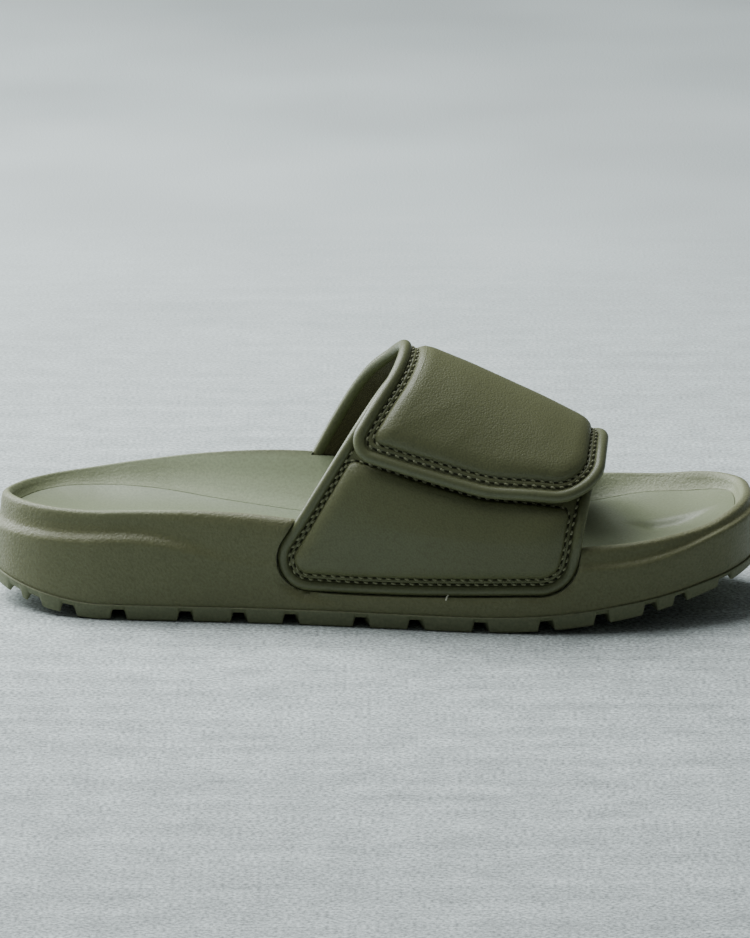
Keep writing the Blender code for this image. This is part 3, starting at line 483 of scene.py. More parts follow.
def last_surface():
    """The last as a grid: stations, girths from the crown, points and unit normals."""
    stations = (np.linspace(LAST_START, LAST_END, LAST_ROWS) - 0.5) * SOLE_LENGTH
    girths = np.arange(-GIRTH_REACH, GIRTH_REACH + GIRTH_STEP / 2, GIRTH_STEP)
    points = np.zeros((len(stations), len(girths), 3))
    for row, x in enumerate(stations):
        section, crown = last_section(x)
        run = np.concatenate([[0], np.cumsum(np.linalg.norm(np.diff(section, axis=0), axis=1))])
        run -= run[crown]
        points[row, :, 0] = x
        points[row, :, 1] = np.interp(girths, run, section[:, 0])
        points[row, :, 2] = np.interp(girths, run, section[:, 1])
        points[row, :, 2] += np.minimum(0, girths - run[0]) - np.maximum(0, girths - run[-1])
    along = np.gradient(points, stations, axis=0)
    round_it = np.gradient(points, girths, axis=1)
    normals = np.cross(along, round_it)
    normals /= np.linalg.norm(normals, axis=2)[:, :, None]
    return stations, girths, points, normals


STATION_LIST, GIRTH_LIST, LAST_POINTS, LAST_NORMALS = last_surface()


def on_last(flat, height):
    """Points over the last: flat holds rows of (x, girth), and height is the distance off the last."""
    i = (flat[:, 0] - STATION_LIST[0]) / (STATION_LIST[1] - STATION_LIST[0])
    j = (flat[:, 1] - GIRTH_LIST[0]) / GIRTH_STEP
    i = np.clip(i, 0, len(STATION_LIST) - 1.001)
    j = np.clip(j, 0, len(GIRTH_LIST) - 1.001)
    i0, j0 = i.astype(int), j.astype(int)
    u, v = (i - i0)[:, None], (j - j0)[:, None]
    found = []
    for grid in (LAST_POINTS, LAST_NORMALS):
        near = grid[i0, j0] * (1 - v) + grid[i0, j0 + 1] * v
        far = grid[i0 + 1, j0] * (1 - v) + grid[i0 + 1, j0 + 1] * v
        found.append(near * (1 - u) + far * u)
    normals = found[1] / np.linalg.norm(found[1], axis=1)[:, None]
    return found[0] + normals * np.broadcast_to(height, len(flat))[:, None]


def true_frames(flat):
    """For each flat point a 2 by 2 matrix that turns small flat steps into true lengths on the last."""
    probe = 0.5 * MM
    here = on_last(flat, 0)
    axes = [(on_last(flat + np.array(move), 0) - here) / probe for move in ((probe, 0), (0, probe))]
    metric = np.array([[np.sum(a * b, axis=1) for a in axes] for b in axes])
    return np.linalg.cholesky(metric.transpose(2, 0, 1)).transpose(0, 2, 1)


def flat_point(along, inner, height):
    """(x, girth) of the place on one side of the last at a share of the length and a height."""
    x = (along - 0.5) * SOLE_LENGTH
    row = int(round(np.interp(x, STATION_LIST, np.arange(len(STATION_LIST)))))
    half = GIRTH_LIST >= 0 if inner else GIRTH_LIST <= 0
    heights, girths = LAST_POINTS[row, half, 2], GIRTH_LIST[half]
    order = np.argsort(heights)
    return x, float(np.interp(height, heights[order], girths[order]))


def crown_point(along, girth):
    """(x, girth) of a place near the crown."""
    return (along - 0.5) * SOLE_LENGTH, girth


def rounded_outline(corners, counts):
    """A closed outline through four sides with rounded corners.

    corners holds (point, radius, main); a side runs between two main corners and gets its count of points.
    """
    places = np.array([corner[0] for corner in corners])
    frames = true_frames(places)
    path, main_places = [], []
    for k, (place, radius, main) in enumerate(corners):
        back = frames[k] @ (places[k - 1] - places[k])
        ahead = frames[k] @ (places[(k + 1) % len(places)] - places[k])
        back_length, ahead_length = np.linalg.norm(back), np.linalg.norm(ahead)
        back, ahead = back / back_length, ahead / ahead_length
        half_angle = math.acos(np.clip(back @ ahead, -1, 1)) / 2
        reach = min(radius / math.tan(half_angle), 0.48 * back_length, 0.48 * ahead_length)
        turn = np.linspace(0, 1, CORNER_POINTS)[:, None]
        weight = math.sin(half_angle)
        arc = (1 - turn) ** 2 * reach * back + turn**2 * reach * ahead
        arc /= (1 - turn) ** 2 + 2 * turn * (1 - turn) * weight + turn**2
        arc = places[k] + np.linalg.solve(frames[k], arc.T).T
        if main:
            main_places.append(len(path) + CORNER_POINTS // 2)
        path.extend(arc)
    path = np.roll(np.array(path), -main_places[0], axis=0)
    main_places = [place - main_places[0] for place in main_places] + [len(path)]
    closed = np.concatenate([path, path[:1]])
    sides = []
    for start, end, count in zip(main_places, main_places[1:], counts):
        sides.append(spread(closed[start : end + 1], count)[:-1])
    return np.concatenate(sides)


def outer_strap_corners():
    """Outer half: rear hem, front hem, front top and rear top. The top lies hidden under the flap."""
    return (
        (flat_point(OUTER_HEM_REAR, False, HEM_HEIGHT), HEM_REAR_RADIUS, True),
        (flat_point(OUTER_HEM_FRONT, False, HEM_HEIGHT), HEM_FRONT_RADIUS, True),
        (crown_point(OUTER_TOP_FRONT, -STRAP_SPLIT), HIDDEN_RADIUS, True),
        (crown_point(OUTER_TOP_REAR, -STRAP_SPLIT), HIDDEN_RADIUS, True),
    )


def inner_strap_corners():
    """Inner half: hem on the inner side, over the crown and down to the flap's end on the outer side."""
    edge_height = (1 - FLAP_EDGE_SHARE) * FLAP_REAR_HEIGHT + FLAP_EDGE_SHARE * FLAP_FRONT_HEIGHT
    return (
        (flat_point(INNER_HEM_FRONT, True, HEM_HEIGHT), HEM_FRONT_RADIUS, True),
        (flat_point(INNER_HEM_REAR, True, HEM_HEIGHT), HEM_REAR_RADIUS, True),
        (crown_point(CROWN_REAR, 0), CROWN_RADIUS, False),
        (flat_point(FLAP_REAR, False, FLAP_REAR_HEIGHT), FLAP_REAR_RADIUS, True),
        (flat_point(FLAP_MIDDLE, False, edge_height), FLAP_EDGE_RADIUS, False),
        (flat_point(FLAP_FRONT, False, FLAP_FRONT_HEIGHT), FLAP_FRONT_RADIUS, True),
        (crown_point(CROWN_FRONT, 0), CROWN_RADIUS, False),
    )


OUTER_CORNERS = outer_strap_corners()
INNER_CORNERS = inner_strap_corners()


def inset_outline(outline, distance):
    """An outline on the flat last moved in by a distance over the surface, or out where it is negative."""
    run = np.roll(outline, -1, axis=0) - np.roll(outline, 1, axis=0)
    frames = true_frames(outline)
    true_run = np.einsum("nij,nj->ni", frames, run)
    aside = np.column_stack([true_run[:, 1], -true_run[:, 0]])
    aside /= np.linalg.norm(aside, axis=1)[:, None]
    move = np.linalg.solve(frames, aside[:, :, None])[:, :, 0]
    turned = outline[:, 0] * np.roll(outline[:, 1], -1) - np.roll(outline[:, 0], -1) * outline[:, 1]
    return outline - np.sign(np.sum(turned)) * move * distance


def strap_line(corners, edge_points, inset):
    """The outline through a strap piece's corners, moved in, with its corners still rounded."""
    eased = [(place, max(radius, inset + LEAST_RADIUS), main) for place, radius, main in corners]
    counts = (HEM_POINTS, edge_points, HEM_POINTS, edge_points)
    return inset_outline(rounded_outline(eased, counts), inset)


def strap_grid(outline):
    """Points inside a four-sided outline as a grid, hem by edge, whose border is the outline."""
    closed = np.concatenate([outline, outline[:1]])
    edge_points = len(outline) // 2 - HEM_POINTS
    turns = np.cumsum((0, HEM_POINTS, edge_points, HEM_POINTS, edge_points))
    hem, front, top, rear = [closed[a : b + 1] for a, b in zip(turns, turns[1:])]
    top, rear = top[::-1], rear[::-1]
    u = np.linspace(0, 1, len(hem))[:, None, None]
    v = np.linspace(0, 1, len(front))[None, :, None]
    across = (1 - v) * hem[:, None] + v * top[:, None]
    up = (1 - u) * rear[None] + u * front[None]
    corners = (1 - u) * ((1 - v) * hem[0] + v * top[0]) + u * ((1 - v) * hem[-1] + v * top[-1])
    return across + up - corners


# Midsole. One thick body of EVA foam, expanded in a mould whose walls give it an orange-peel skin.
# A shoulder runs round heel and toe, and each end of the strap lies in a moulded pocket.

SHOULDER_STEP = 2.5 * MM
RIM_WIDTH = 6.2 * MM
RIM_ROUNDING = 4.6 * MM
FOOT_ROUNDING = 0.3 * MM
LIP_DROP = 1.3 * MM
BASIN_FULLNESS = 0.35
HEEL_SEAT_HEIGHT = 34.3 * MM
BALL_SEAT_HEIGHT = 24.8 * MM
TOE_SEAT_HEIGHT = 37.0 * MM
FOOTBED_MARGIN = 12.0 * MM
ARCH_MARGIN = 25.0 * MM
DISH_DEPTH = 3.0 * MM
TOE_CREST_HEIGHT = 2.4 * MM
TOE_CREST_WIDTH = 9.0 * MM
TOE_CREST_ALONG = 0.775
TOE_CREST_BOW = 14.5 * MM
TOE_CREST_OFFSET = 8.4 * MM
INSOLE_THICKNESS = 3.0 * MM
POCKET_REACH = 14.0 * MM
POCKET_SHARE = 0.5
POCKET_CLEARANCE = 0.12 * MM
POCKET_EDGE_RADIUS = 2.0 * MM
POCKET_EDGE_DEPTH = 1.0 * MM
LEDGE_WIDTH = 4.5 * MM
LEDGE_DEPTH = 2.4 * MM
LEDGE_EASE = 3.0 * MM
# How much of the inside's painted sheen and smoother grain is kept along the sole: less at heel and toe, as
# painted shade there
PAINTED_SHEEN_ALONG = [-125 * MM, -55 * MM, 50 * MM, 110 * MM]
PAINTED_SHEEN_SHARE = [0.45, 1.0, 1.0, 0.35]
INSIDE_START = 3.2 * MM
INSIDE_END = 7.0 * MM
MIDSOLE_SHARP = 50
MIDSOLE_POINTS = 900
SIDE_ROWS_EACH = 5

SHOULDER = columns(
    "along height depth",
    (0.00, 0.730 * HEEL_RIM_HEIGHT, 0.85),
    (0.10, 0.730 * HEEL_RIM_HEIGHT, 1.00),
    (0.21, 0.735 * HEEL_RIM_HEIGHT, 0.90),
    (0.25, 0.680 * HEEL_RIM_HEIGHT, 0.50),
    (0.29, 0.600 * HEEL_RIM_HEIGHT, 0.00),
    (0.50, 0.700 * BALL_RIM_HEIGHT, 0.00),
    (0.74, 0.765 * BALL_RIM_HEIGHT, 0.30),
    (0.84, 0.800 * BALL_RIM_HEIGHT, 0.62),
    (0.90, 0.715 * TOE_RIM_HEIGHT, 0.62),
    (0.95, 0.820 * TOE_RIM_HEIGHT, 0.62),
    (1.00, 0.910 * TOE_RIM_HEIGHT, 0.62),
)
LOWER_WALL = columns(
    "height inset step",
    (0.00, 1.00, 0.00),
    (0.10, 0.30, 0.00),
    (0.50, 0.00, 0.00),
    (0.88, 0.05, 0.00),
    (1.00, 0.25, 0.25),
)
UPPER_WALL = columns(
    "height inset step",
    (0.20, 0.17, 0.80),
    (0.46, 0.22, 1.00),
    (0.74, 0.31, 0.95),
    (0.93, 0.53, 0.80),
    (1.00, 1.00, 0.60),
)
SEAT = columns(
    "along height",
    (0.00, 1.075 * HEEL_SEAT_HEIGHT),
    (0.04, 1.060 * HEEL_SEAT_HEIGHT),
    (0.12, 1.000 * HEEL_SEAT_HEIGHT),
    (0.24, 0.950 * HEEL_SEAT_HEIGHT),
    (0.34, 0.870 * HEEL_SEAT_HEIGHT),
    (0.43, 1.110 * BALL_SEAT_HEIGHT),
    (0.54, 1.035 * BALL_SEAT_HEIGHT),
    (0.66, 1.000 * BALL_SEAT_HEIGHT),
    (0.76, 1.020 * BALL_SEAT_HEIGHT),
    (0.84, 1.130 * BALL_SEAT_HEIGHT),
    (0.91, 0.850 * TOE_SEAT_HEIGHT),
    (0.97, 0.975 * TOE_SEAT_HEIGHT),
    (1.00, 1.010 * TOE_SEAT_HEIGHT),
)
DISH = columns(
    "along outer inner",
    (0.00, 0.10, 0.10),
    (0.08, 0.70, 1.15),
    (0.16, 1.00, 1.50),
    (0.28, 0.90, 1.15),
    (0.42, 0.65, 0.75),
    (0.62, 0.50, 0.60),
    (0.78, 0.70, 0.85),
    (0.87, 0.90, 1.20),
    (0.94, 0.55, 0.65),
    (1.00, 0.10, 0.10),
)
MARGIN = columns(
    "along outer inner",
    (0.00, 0.76 * FOOTBED_MARGIN, 0.76 * FOOTBED_MARGIN),
    (0.06, 0.88 * FOOTBED_MARGIN, 0.88 * FOOTBED_MARGIN),
    (0.12, 1.00 * FOOTBED_MARGIN, 1.00 * FOOTBED_MARGIN),
    (0.21, 1.00 * FOOTBED_MARGIN, 0.62 * ARCH_MARGIN),
    (0.32, 1.00 * FOOTBED_MARGIN, 0.84 * ARCH_MARGIN),
    (0.46, 1.00 * FOOTBED_MARGIN, 1.00 * ARCH_MARGIN),
    (0.58, 1.00 * FOOTBED_MARGIN, 0.84 * ARCH_MARGIN),
    (0.72, 1.00 * FOOTBED_MARGIN, 1.25 * FOOTBED_MARGIN),
    (0.84, 1.00 * FOOTBED_MARGIN, 1.10 * FOOTBED_MARGIN),
    (0.94, 0.85 * FOOTBED_MARGIN, 0.90 * FOOTBED_MARGIN),
    (1.00, 0.72 * FOOTBED_MARGIN, 0.72 * FOOTBED_MARGIN),
)


def footbed_height(ring, flat, share):
    """Height of the footbed at points which lie a share of the way from the middle to its edge."""
    x, y = flat[:, 0], flat[:, 1]
    seat = smooth(x / SOLE_LENGTH + 0.5, SEAT["along"], SEAT["height"])
    dish = DISH_DEPTH * ring.by_side(DISH) * share**2
    bow = TOE_CREST_BOW * np.cos(math.pi * (y + TOE_CREST_OFFSET) / BALL_WIDTH)
    crest_line = (TOE_CREST_ALONG - 0.5) * SOLE_LENGTH + bow
    crest = TOE_CREST_HEIGHT * np.exp(-(((x - crest_line) / TOE_CREST_WIDTH) ** 2)) * (1 - share**4)
    return seat + dish + crest


def refine(rings, each):
    """Rings on a smooth curve through the given rings, with a number of steps between neighbours."""
    rings = np.array(rings)
    slopes = np.gradient(rings, axis=0)
    fine = [rings[0]]
    for k in range(len(rings) - 1):
        for t in np.linspace(0, 1, each + 1)[1:]:
            left = rings[k] * (1 + 2 * t) * (1 - t) ** 2 + slopes[k] * t * (1 - t) ** 2
            right = rings[k + 1] * t * t * (3 - 2 * t) - slopes[k + 1] * t * t * (1 - t)
            fine.append(left + right)
    return fine


def midsole_side(ring):
    """Rings up the midsole's side, over its rim and down to the edge of the footbed."""
    bottom = parting(ring.points[:, 0])
    shoulder = smooth(ring.along, SHOULDER["along"], SHOULDER["height"])
    step = SHOULDER_STEP * smooth(ring.along, SHOULDER["along"], SHOULDER["depth"])
    rim = ring.by_side(RIM)
    rings = []
    walls = ((LOWER_WALL, FOOT_ROUNDING, bottom, shoulder), (UPPER_WALL, RIM_ROUNDING, shoulder, rim))
    for table, rounding, low, high in walls:
        for height, inset, share in zip(table["height"], table["inset"], table["step"]):
            rings.append(lift(ring.inset(inset * rounding + share * step), low + (high - low) * height))
    margin = ring.by_side(MARGIN)
    edge = ring.inset(margin)
    seat = footbed_height(ring, edge, 1)
    lip_inset = RIM_WIDTH + 0.5 * step
    lip = rim - LIP_DROP
    for share in (0, 0.35, 0.7):
        drop = share * (1 + BASIN_FULLNESS * (1 - share))
        rings.append(lift(ring.inset(lip_inset + (margin - lip_inset) * share), lip + (seat - lip) * drop))
    rings.append(lift(edge, seat))
    return rings


def flat_of(points, inner):
    """(x, girth) on the last of points beside it, for the outer or the inner side."""
    row = np.interp(points[:, 0], STATION_LIST, np.arange(len(STATION_LIST)))
    half = GIRTH_LIST >= 0 if inner else GIRTH_LIST <= 0
    girths = np.zeros(len(points))
    for k in np.unique(row.round().astype(int)):
        chosen = row.round().astype(int) == k
        heights = LAST_POINTS[k, half, 2]
        order = np.argsort(heights)
        girths[chosen] = np.interp(points[chosen, 2], heights[order], GIRTH_LIST[half][order])
    return np.column_stack([points[:, 0], girths])


def distance_to(line, places, frames=None):
    """Distance of each flat place to a line of points, in true lengths on the last if it has frames."""
    away = np.zeros(len(places))
    for start in range(0, len(places), 2000):
        part = slice(start, start + 2000)
        steps = places[part][:, None] - line[None]
        if frames is not None:
            steps = np.einsum("nij,nkj->nki", frames[part], steps)
        away[part] = np.sqrt((steps**2).sum(axis=2).min(axis=1))
    return away


def pocket_easing(points, normals, inner, outline):
    """Points of the sole's side drawn in beside a pocket: a small radius round it, a ledge under it."""
    flat = flat_of(points, inner)
    away = np.full(len(flat), 1.0)
    half_length = np.ptp(outline[:, 0]) / 2 + 2 * LEDGE_WIDTH
    near = np.abs(points[:, 0] - outline[:, 0].mean()) < half_length
    away[near] = distance_to(outline, flat[near])
    side = 1 if inner else -1
    hem = (side * outline[:, 1]).max()
    below = ease(side * flat[:, 1], hem - LEDGE_EASE, hem + 0.5 * MM)
    depth = POCKET_EDGE_DEPTH * np.clip(1 - away / POCKET_EDGE_RADIUS, 0, 1) ** 2
    depth += LEDGE_DEPTH * np.clip(1 - away / LEDGE_WIDTH, 0, 1) ** 1.6 * below
    return points - normals * depth[:, None]


def grid_faces(rows, count, first=0):
    """Quads of an open grid of points."""
    faces = []
    for row in range(rows - 1):
        for k in range(count - 1):
            a = first + row * count + k
            faces.append((a, a + 1, a + count + 1, a + count))
    return faces


def pocket_cutter(corners):
    """A solid of the pocket's shape, from the last's face out past the sole's side, up to over the rim."""
    hem = [np.array(corner[0]) for corner in corners[:2]]
    above = [np.array(corners[-1][0]), np.array(corners[2][0])]
    tops = [(low + (high - low) * POCKET_SHARE, HIDDEN_RADIUS, True) for low, high in zip(hem, above)]
    wide = strap_line((*corners[:2], *tops[::-1]), OUTER_EDGE_POINTS, -POCKET_CLEARANCE)
    grid = strap_grid(wide)
    flat = grid.reshape(-1, 2)
    points = [on_last(wide, height) for height in (-GAP, POCKET_REACH)]
    points += [on_last(flat, height) for height in (-GAP, POCKET_REACH)]
    faces = ring_faces(2, len(wide))
    for layer in (0, 1):
        faces += grid_faces(*grid.shape[:2], 2 * len(wide) + layer * len(flat))
    return piece_from_faces("pocket", np.concatenate(points), faces)


def mark_inside(piece, most=1):
    """Marks the points well inside the sole's outline with smoother grain and a painted sheen, less of both
    at heel and toe, where the missing sheen is painted shade.
    """
    count = len(piece.data.vertices)
    places = np.empty(3 * count)
    piece.data.vertices.foreach_get("co", places)
    plan = places.reshape(-1, 3)[:, :2]
    away = distance_to(PLAN[::10], plan)
    share = np.interp(plan[:, 0], PAINTED_SHEEN_ALONG, PAINTED_SHEEN_SHARE)
    mark = piece.data.attributes.new("inside", "FLOAT", "POINT")
    mark.data.foreach_set("value", ease(away, INSIDE_START, INSIDE_END) * share * most)


# Expanded EVA foam: a dry, slightly waxy skin, pebbled by the mould like orange peel
foam_look = {"IOR": 1.5, "Specular_IOR_Level": 0.42, "Sheen_Weight": 0.1, "Sheen_Roughness": 0.4}
midsole_foam = moulded(
    "moulded_eva_foam",
    "#70714e",
    "#676947",
    cell=1.0 * MM,
    depth=0.27 * MM,
    roughness=0.48,
    sockets=foam_look,
)
ring = Ring(spread(np.concatenate([PLAN, PLAN[:1]]), MIDSOLE_POINTS)[:-1])
rings = []
for share in (0, 0.5):
    flat = ring.inward(ring.inset(FOOT_ROUNDING), share)
    rings.append(lift(flat, parting(flat[:, 0])))
side = np.array(refine(midsole_side(ring), SIDE_ROWS_EACH))
wall_rows = 1 + SIDE_ROWS_EACH * (len(LOWER_WALL["height"]) + len(UPPER_WALL["height"]) - 1)
outward = np.column_stack([ring.normal, np.zeros(len(ring.normal))])
for inner, corners, edge_points in (
    (False, OUTER_CORNERS, OUTER_EDGE_POINTS),
    (True, INNER_CORNERS, INNER_EDGE_POINTS),
):
    chosen = ring.inner == inner
    outline = strap_line(corners, edge_points, 0)
    wall = side[:wall_rows, chosen].reshape(-1, 3)
    normals = np.tile(outward[chosen], (wall_rows, 1))
    side[:wall_rows, chosen] = pocket_easing(wall, normals, inner, outline).reshape(wall_rows, -1, 3)
rings += list(side)
edge = ring.inset(ring.by_side(MARGIN))
for share in (1, 0.6, 0):
    flat = ring.inward(edge, share)
    rings.append(lift(flat, footbed_height(ring, flat, share) - INSOLE_THICKNESS))
faces = ring_faces(len(rings), MIDSOLE_POINTS)
midsole = piece_from_faces("midsole_body", np.concatenate(rings), faces, sharp=MIDSOLE_SHARP)
for corners in (OUTER_CORNERS, INNER_CORNERS):
    cutter = pocket_cutter(corners)
    pocket = midsole.modifiers.new("pocket", "BOOLEAN")
    pocket.operation = "DIFFERENCE"
    pocket.solver = "MANIFOLD"
    pocket.object = cutter
    with bpy.context.temp_override(object=midsole, active_object=midsole):
        bpy.ops.object.modifier_apply(modifier=pocket.name)
    bpy.data.objects.remove(cutter)
midsole.data.shade_smooth()
midsole.data.set_sharp_from_angle(angle=math.radians(MIDSOLE_SHARP))
# Painted sheen over the sole's inside, with painted shade where it fades at heel and toe
mark_inside(midsole)
midsole.data.materials.clear()
midsole.data.materials.append(midsole_foam)
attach(midsole, "root")
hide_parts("midsole")

# Insole. A thinner pad of softer foam, let into the midsole so that only a fine crease shows.
# Its top is smoother than the sides, with a low crest moulded behind the toes and a valley under them.

INSOLE_ROUNDING = 0.45 * MM
INSOLE_CLEARANCE = 0.15 * MM
INSOLE_ROWS = 48
INSOLE_PAINTED_SHEEN = 0.3
TOE_VALLEY_X = 112.0 * MM
TOE_VALLEY_Y = 4.0 * MM
TOE_VALLEY_WIDTH = 12.0 * MM
TOE_VALLEY_DEPTH = 3.0 * MM
TOE_VALLEY_SLANT = 0.18
TOE_VALLEY_REACH = 22.0 * MM
TOE_VALLEY_CORE = 6.0 * MM
TOE_STEP_OFFSET = 1.5 * MM
TOE_STEP_WIDTH = 2.2 * MM


def toe_valley(flat):
    """The soft step across the toes' bed: the big toe's side lies a little higher than the outer side."""
    x, y = flat[:, 0], flat[:, 1]
    line = TOE_VALLEY_Y + TOE_VALLEY_SLANT * (x - TOE_VALLEY_X)
    rise = ease(x, TOE_VALLEY_X - TOE_VALLEY_REACH, TOE_VALLEY_X - TOE_VALLEY_CORE)
    fall = 1 - ease(x, TOE_VALLEY_X, TOE_VALLEY_X + TOE_VALLEY_REACH)
    across = np.exp(-np.abs((y - line) / TOE_VALLEY_WIDTH) ** 1.6)
    step = 0.5 - 0.5 * np.tanh((y - line - TOE_STEP_OFFSET) / TOE_STEP_WIDTH)
    return -TOE_VALLEY_DEPTH * (rise * fall) * across * step


# Softer EVA with a finer mould skin: satin, so it takes more of the light from above than the sides
insole_foam = moulded(
    "satin_eva_foam",
    "#6e7451",
    "#656c4b",
    cell=0.9 * MM,
    depth=0.06 * MM,
    roughness=0.46,
    sockets={**foam_look, "Specular_IOR_Level": 0.65},
    seed=(0.3, 0.1, 0),
)
margin = ring.by_side(MARGIN) + INSOLE_CLEARANCE
edge = ring.inset(margin)
inside = ring.inset(margin + INSOLE_ROUNDING)
rings = []
for share in np.linspace(0, 1, INSOLE_ROWS):
    flat = ring.inward(inside, share)
    rings.append(lift(flat, footbed_height(ring, flat, share) + toe_valley(flat)))
seat = footbed_height(ring, edge, 1)
for turn in (0.4, 0.8, 1.2, math.pi / 2):
    out = ring.inset(margin + INSOLE_ROUNDING * (1 - math.sin(turn)))
    rings.append(lift(out, seat - INSOLE_ROUNDING * (1 - math.cos(turn))))
for share in (1, 0.6, 0):
    flat = ring.inward(edge, share)
    rings.append(lift(flat, footbed_height(ring, flat, share) - INSOLE_THICKNESS + GAP / 3))
faces = ring_faces(len(rings), MIDSOLE_POINTS)
insole = piece_from_faces("insole_pad", np.concatenate(rings), faces, sharp=MIDSOLE_SHARP)
insole.data.materials.append(insole_foam)
# The footbed takes a share of the same painted sheen; where it fades, at the heel and at the toe under the
# strap, that is painted shade
mark_inside(insole, most=INSOLE_PAINTED_SHEEN)
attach(insole, "root")
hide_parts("insole")

# Strap, both halves. Soft coated leather over foam, sewn to a knitted lining; the stitched margin
# stays thin and the padded field rises beside it. The inner half ends in the flap.

STRAP_MARGIN_THICKNESS = 3.4 * MM
STRAP_PAD_THICKNESS = 6.25 * MM
BINDING_DIAMETER = 4.6 * MM
PATCH_THICKNESS = 1.2 * MM
FLAP_CLIMB_START = -3.0
FLAP_CLIMB_END = 0.3
FLAP_EASE = 0.2 * MM
PAD_ROUNDING = 6.5 * MM
PAD_FULLNESS = 2.2
PAD_CROWN = 0.7 * MM
PAD_CROWN_REACH = 24.0 * MM
SEAM_SINK = 0.45 * MM
SEAM_WIDTH = 0.5 * MM
PAD_START = 0.55 * MM
TUCK_DEPTH = 0.5 * MM
TUCK_REACH = 1.0 * MM
OUTER_SEAMS = (4.65 * MM, 6.45 * MM)
INNER_SEAMS = (5.25 * MM, 7.05 * MM)
PANEL_ROWS = 22
PANEL_REACH = 9.6 * MM
PANEL_SHARP = 60
PANEL_MERGE = 0.01 * MM
DRAW_START = 2.2 * MM
DRAW_END = 0.3 * MM
FOLD_START = 0.3 * MM
LINING_HEIGHT = 0.5 * MM
LINING_WAVE = 0.25 * MM
LINING_WAVE_LENGTH = 9.0 * MM
LINING_WAVE_GIRTH = 13.0 * MM
SEAM_PEEK = -0.5 * MM
FLAP_LIFT = max(BINDING_DIAMETER + GAP, STRAP_MARGIN_THICKNESS + PATCH_THICKNESS + 2 * GAP) + FLAP_EASE
# Where the outer half's edges pass under the flap's free edge
FRONT_CROSSING = 0.78
REAR_CROSSING = 0.43
REAR_CROSSING_RISE = 2.0 * MM

# Folds: start and end on the last, width and depth. A depth below 0 is a ridge.
OUTER_FOLDS = (
    (flat_point(0.46, False, 50 * MM), flat_point(0.76, False, 32 * MM), 9 * MM, 0.5 * MM),
    (flat_point(0.42, False, 27 * MM), flat_point(0.60, False, 24 * MM), 6 * MM, 0.3 * MM),
)
INNER_FOLDS = (
    (crown_point(0.60, -34 * MM), crown_point(0.70, -58 * MM), 8 * MM, 0.45 * MM),
    (crown_point(0.56, -46 * MM), crown_point(0.66, -66 * MM), 5 * MM, -0.3 * MM),
    (crown_point(0.57, 20 * MM), crown_point(0.74, 30 * MM), 9 * MM, 0.4 * MM),
)


def flap_lift(flat):
    """How far the inner half stands off the last: it climbs over the outer half's hidden top."""
    return FLAP_LIFT * ease(-flat[:, 1], FLAP_CLIMB_START * STRAP_SPLIT, FLAP_CLIMB_END * STRAP_SPLIT)


def no_lift(flat):
    """The outer half lies on the last."""
    return np.zeros(len(flat))


def pad_height(away, seams):
    """Height of the face at a distance from the outline: thin margin, sewn-in seams, then the pad."""
    start = seams[1] + PAD_START
    t = np.clip((away - start) / PAD_ROUNDING, 0, 1)
    rise = (STRAP_PAD_THICKNESS - STRAP_MARGIN_THICKNESS) * np.sqrt(1 - (1 - t) ** PAD_FULLNESS)
    crown = PAD_CROWN * ease(away, start, start + PAD_CROWN_REACH)
    sink = sum(np.exp(-(((away - seam) / SEAM_WIDTH) ** 2)) for seam in seams)
    tuck = TUCK_DEPTH * np.clip(1 - (away - BINDING_DIAMETER) / TUCK_REACH, 0, 1) ** 2
    return STRAP_MARGIN_THICKNESS + rise + crown - SEAM_SINK * sink - tuck


def trough(flat, start, end, width, depth):
    """A soft fold pressed into the pad along a line on the flat last, fading at its ends."""
    start, end = np.array(start), np.array(end)
    run = end - start
    t = ((flat - start) @ run) / (run @ run)
    aside = np.linalg.norm(flat - start - np.clip(t, 0, 1)[:, None] * run, axis=1)
    fade = np.clip(4 * t * (1 - t), 0, 1) ** 0.7
    return -depth * np.exp(-((aside / width) ** 2)) * fade


def on_pad(height):
    """1 on the padded field, 0 on the stitched margin."""
    return ease(height, STRAP_MARGIN_THICKNESS + FOLD_START, STRAP_PAD_THICKNESS)


def folds(flat, height, lines):
    """How far a half's folds press its pad in, or raise it."""
    return sum(trough(flat, *line) for line in lines) * on_pad(height)


def strap_panel(name, corners, pad_corners, edge_points, base_lift, fold_lines, seams):
    """A strap half: rings from under the binding to the pad, then a grid, and a lining under both."""
    under = BINDING_DIAMETER / 2
    step = (PANEL_REACH - under) / PANEL_ROWS
    aways = under + step * np.arange(PANEL_ROWS + 1)
    border = strap_line(corners, edge_points, under)
    loops = []
    for away in aways:
        full = strap_line(corners, edge_points, away)
        drawn = strap_line(pad_corners, edge_points, away)
        share = ease(away, seams[1] - DRAW_START, seams[1] - DRAW_END)
        loops.append(full * (1 - share) + drawn * share)
    heights = [pad_height(np.full(len(border), away), seams) for away in aways]
    grid = strap_grid(loops[-1])
    flat = grid.reshape(-1, 2)
    deep = distance_to(loops[-1], flat, true_frames(flat)) + PANEL_REACH
    heights.append(pad_height(deep, seams))
    places = [*loops, flat]
    outer = [
        on_last(place, base_lift(place) + height + folds(place, height, fold_lines))
        for place, height in zip(places, heights)
    ]
    lining = strap_grid(border)
    lining_flat = lining.reshape(-1, 2)
    x_wave = np.sin(lining_flat[:, 0] / LINING_WAVE_LENGTH)
    soft = LINING_WAVE * x_wave * np.sin(lining_flat[:, 1] / LINING_WAVE_GIRTH)
    back = on_last(lining_flat, base_lift(lining_flat) + LINING_HEIGHT + soft)
    foot = on_last(border, base_lift(border) + LINING_HEIGHT)
    points = np.concatenate([foot, *outer, back])
    count = len(border)
    faces = ring_faces(len(loops) + 1, count)
    first_grid = count * (len(loops) + 1)
    faces += grid_faces(*grid.shape[:2], first_grid)
    lined = len(faces)
    faces += grid_faces(*lining.shape[:2], first_grid + len(flat))
    return piece_from_faces(name, points, faces, PANEL_SHARP, PANEL_MERGE, lined)


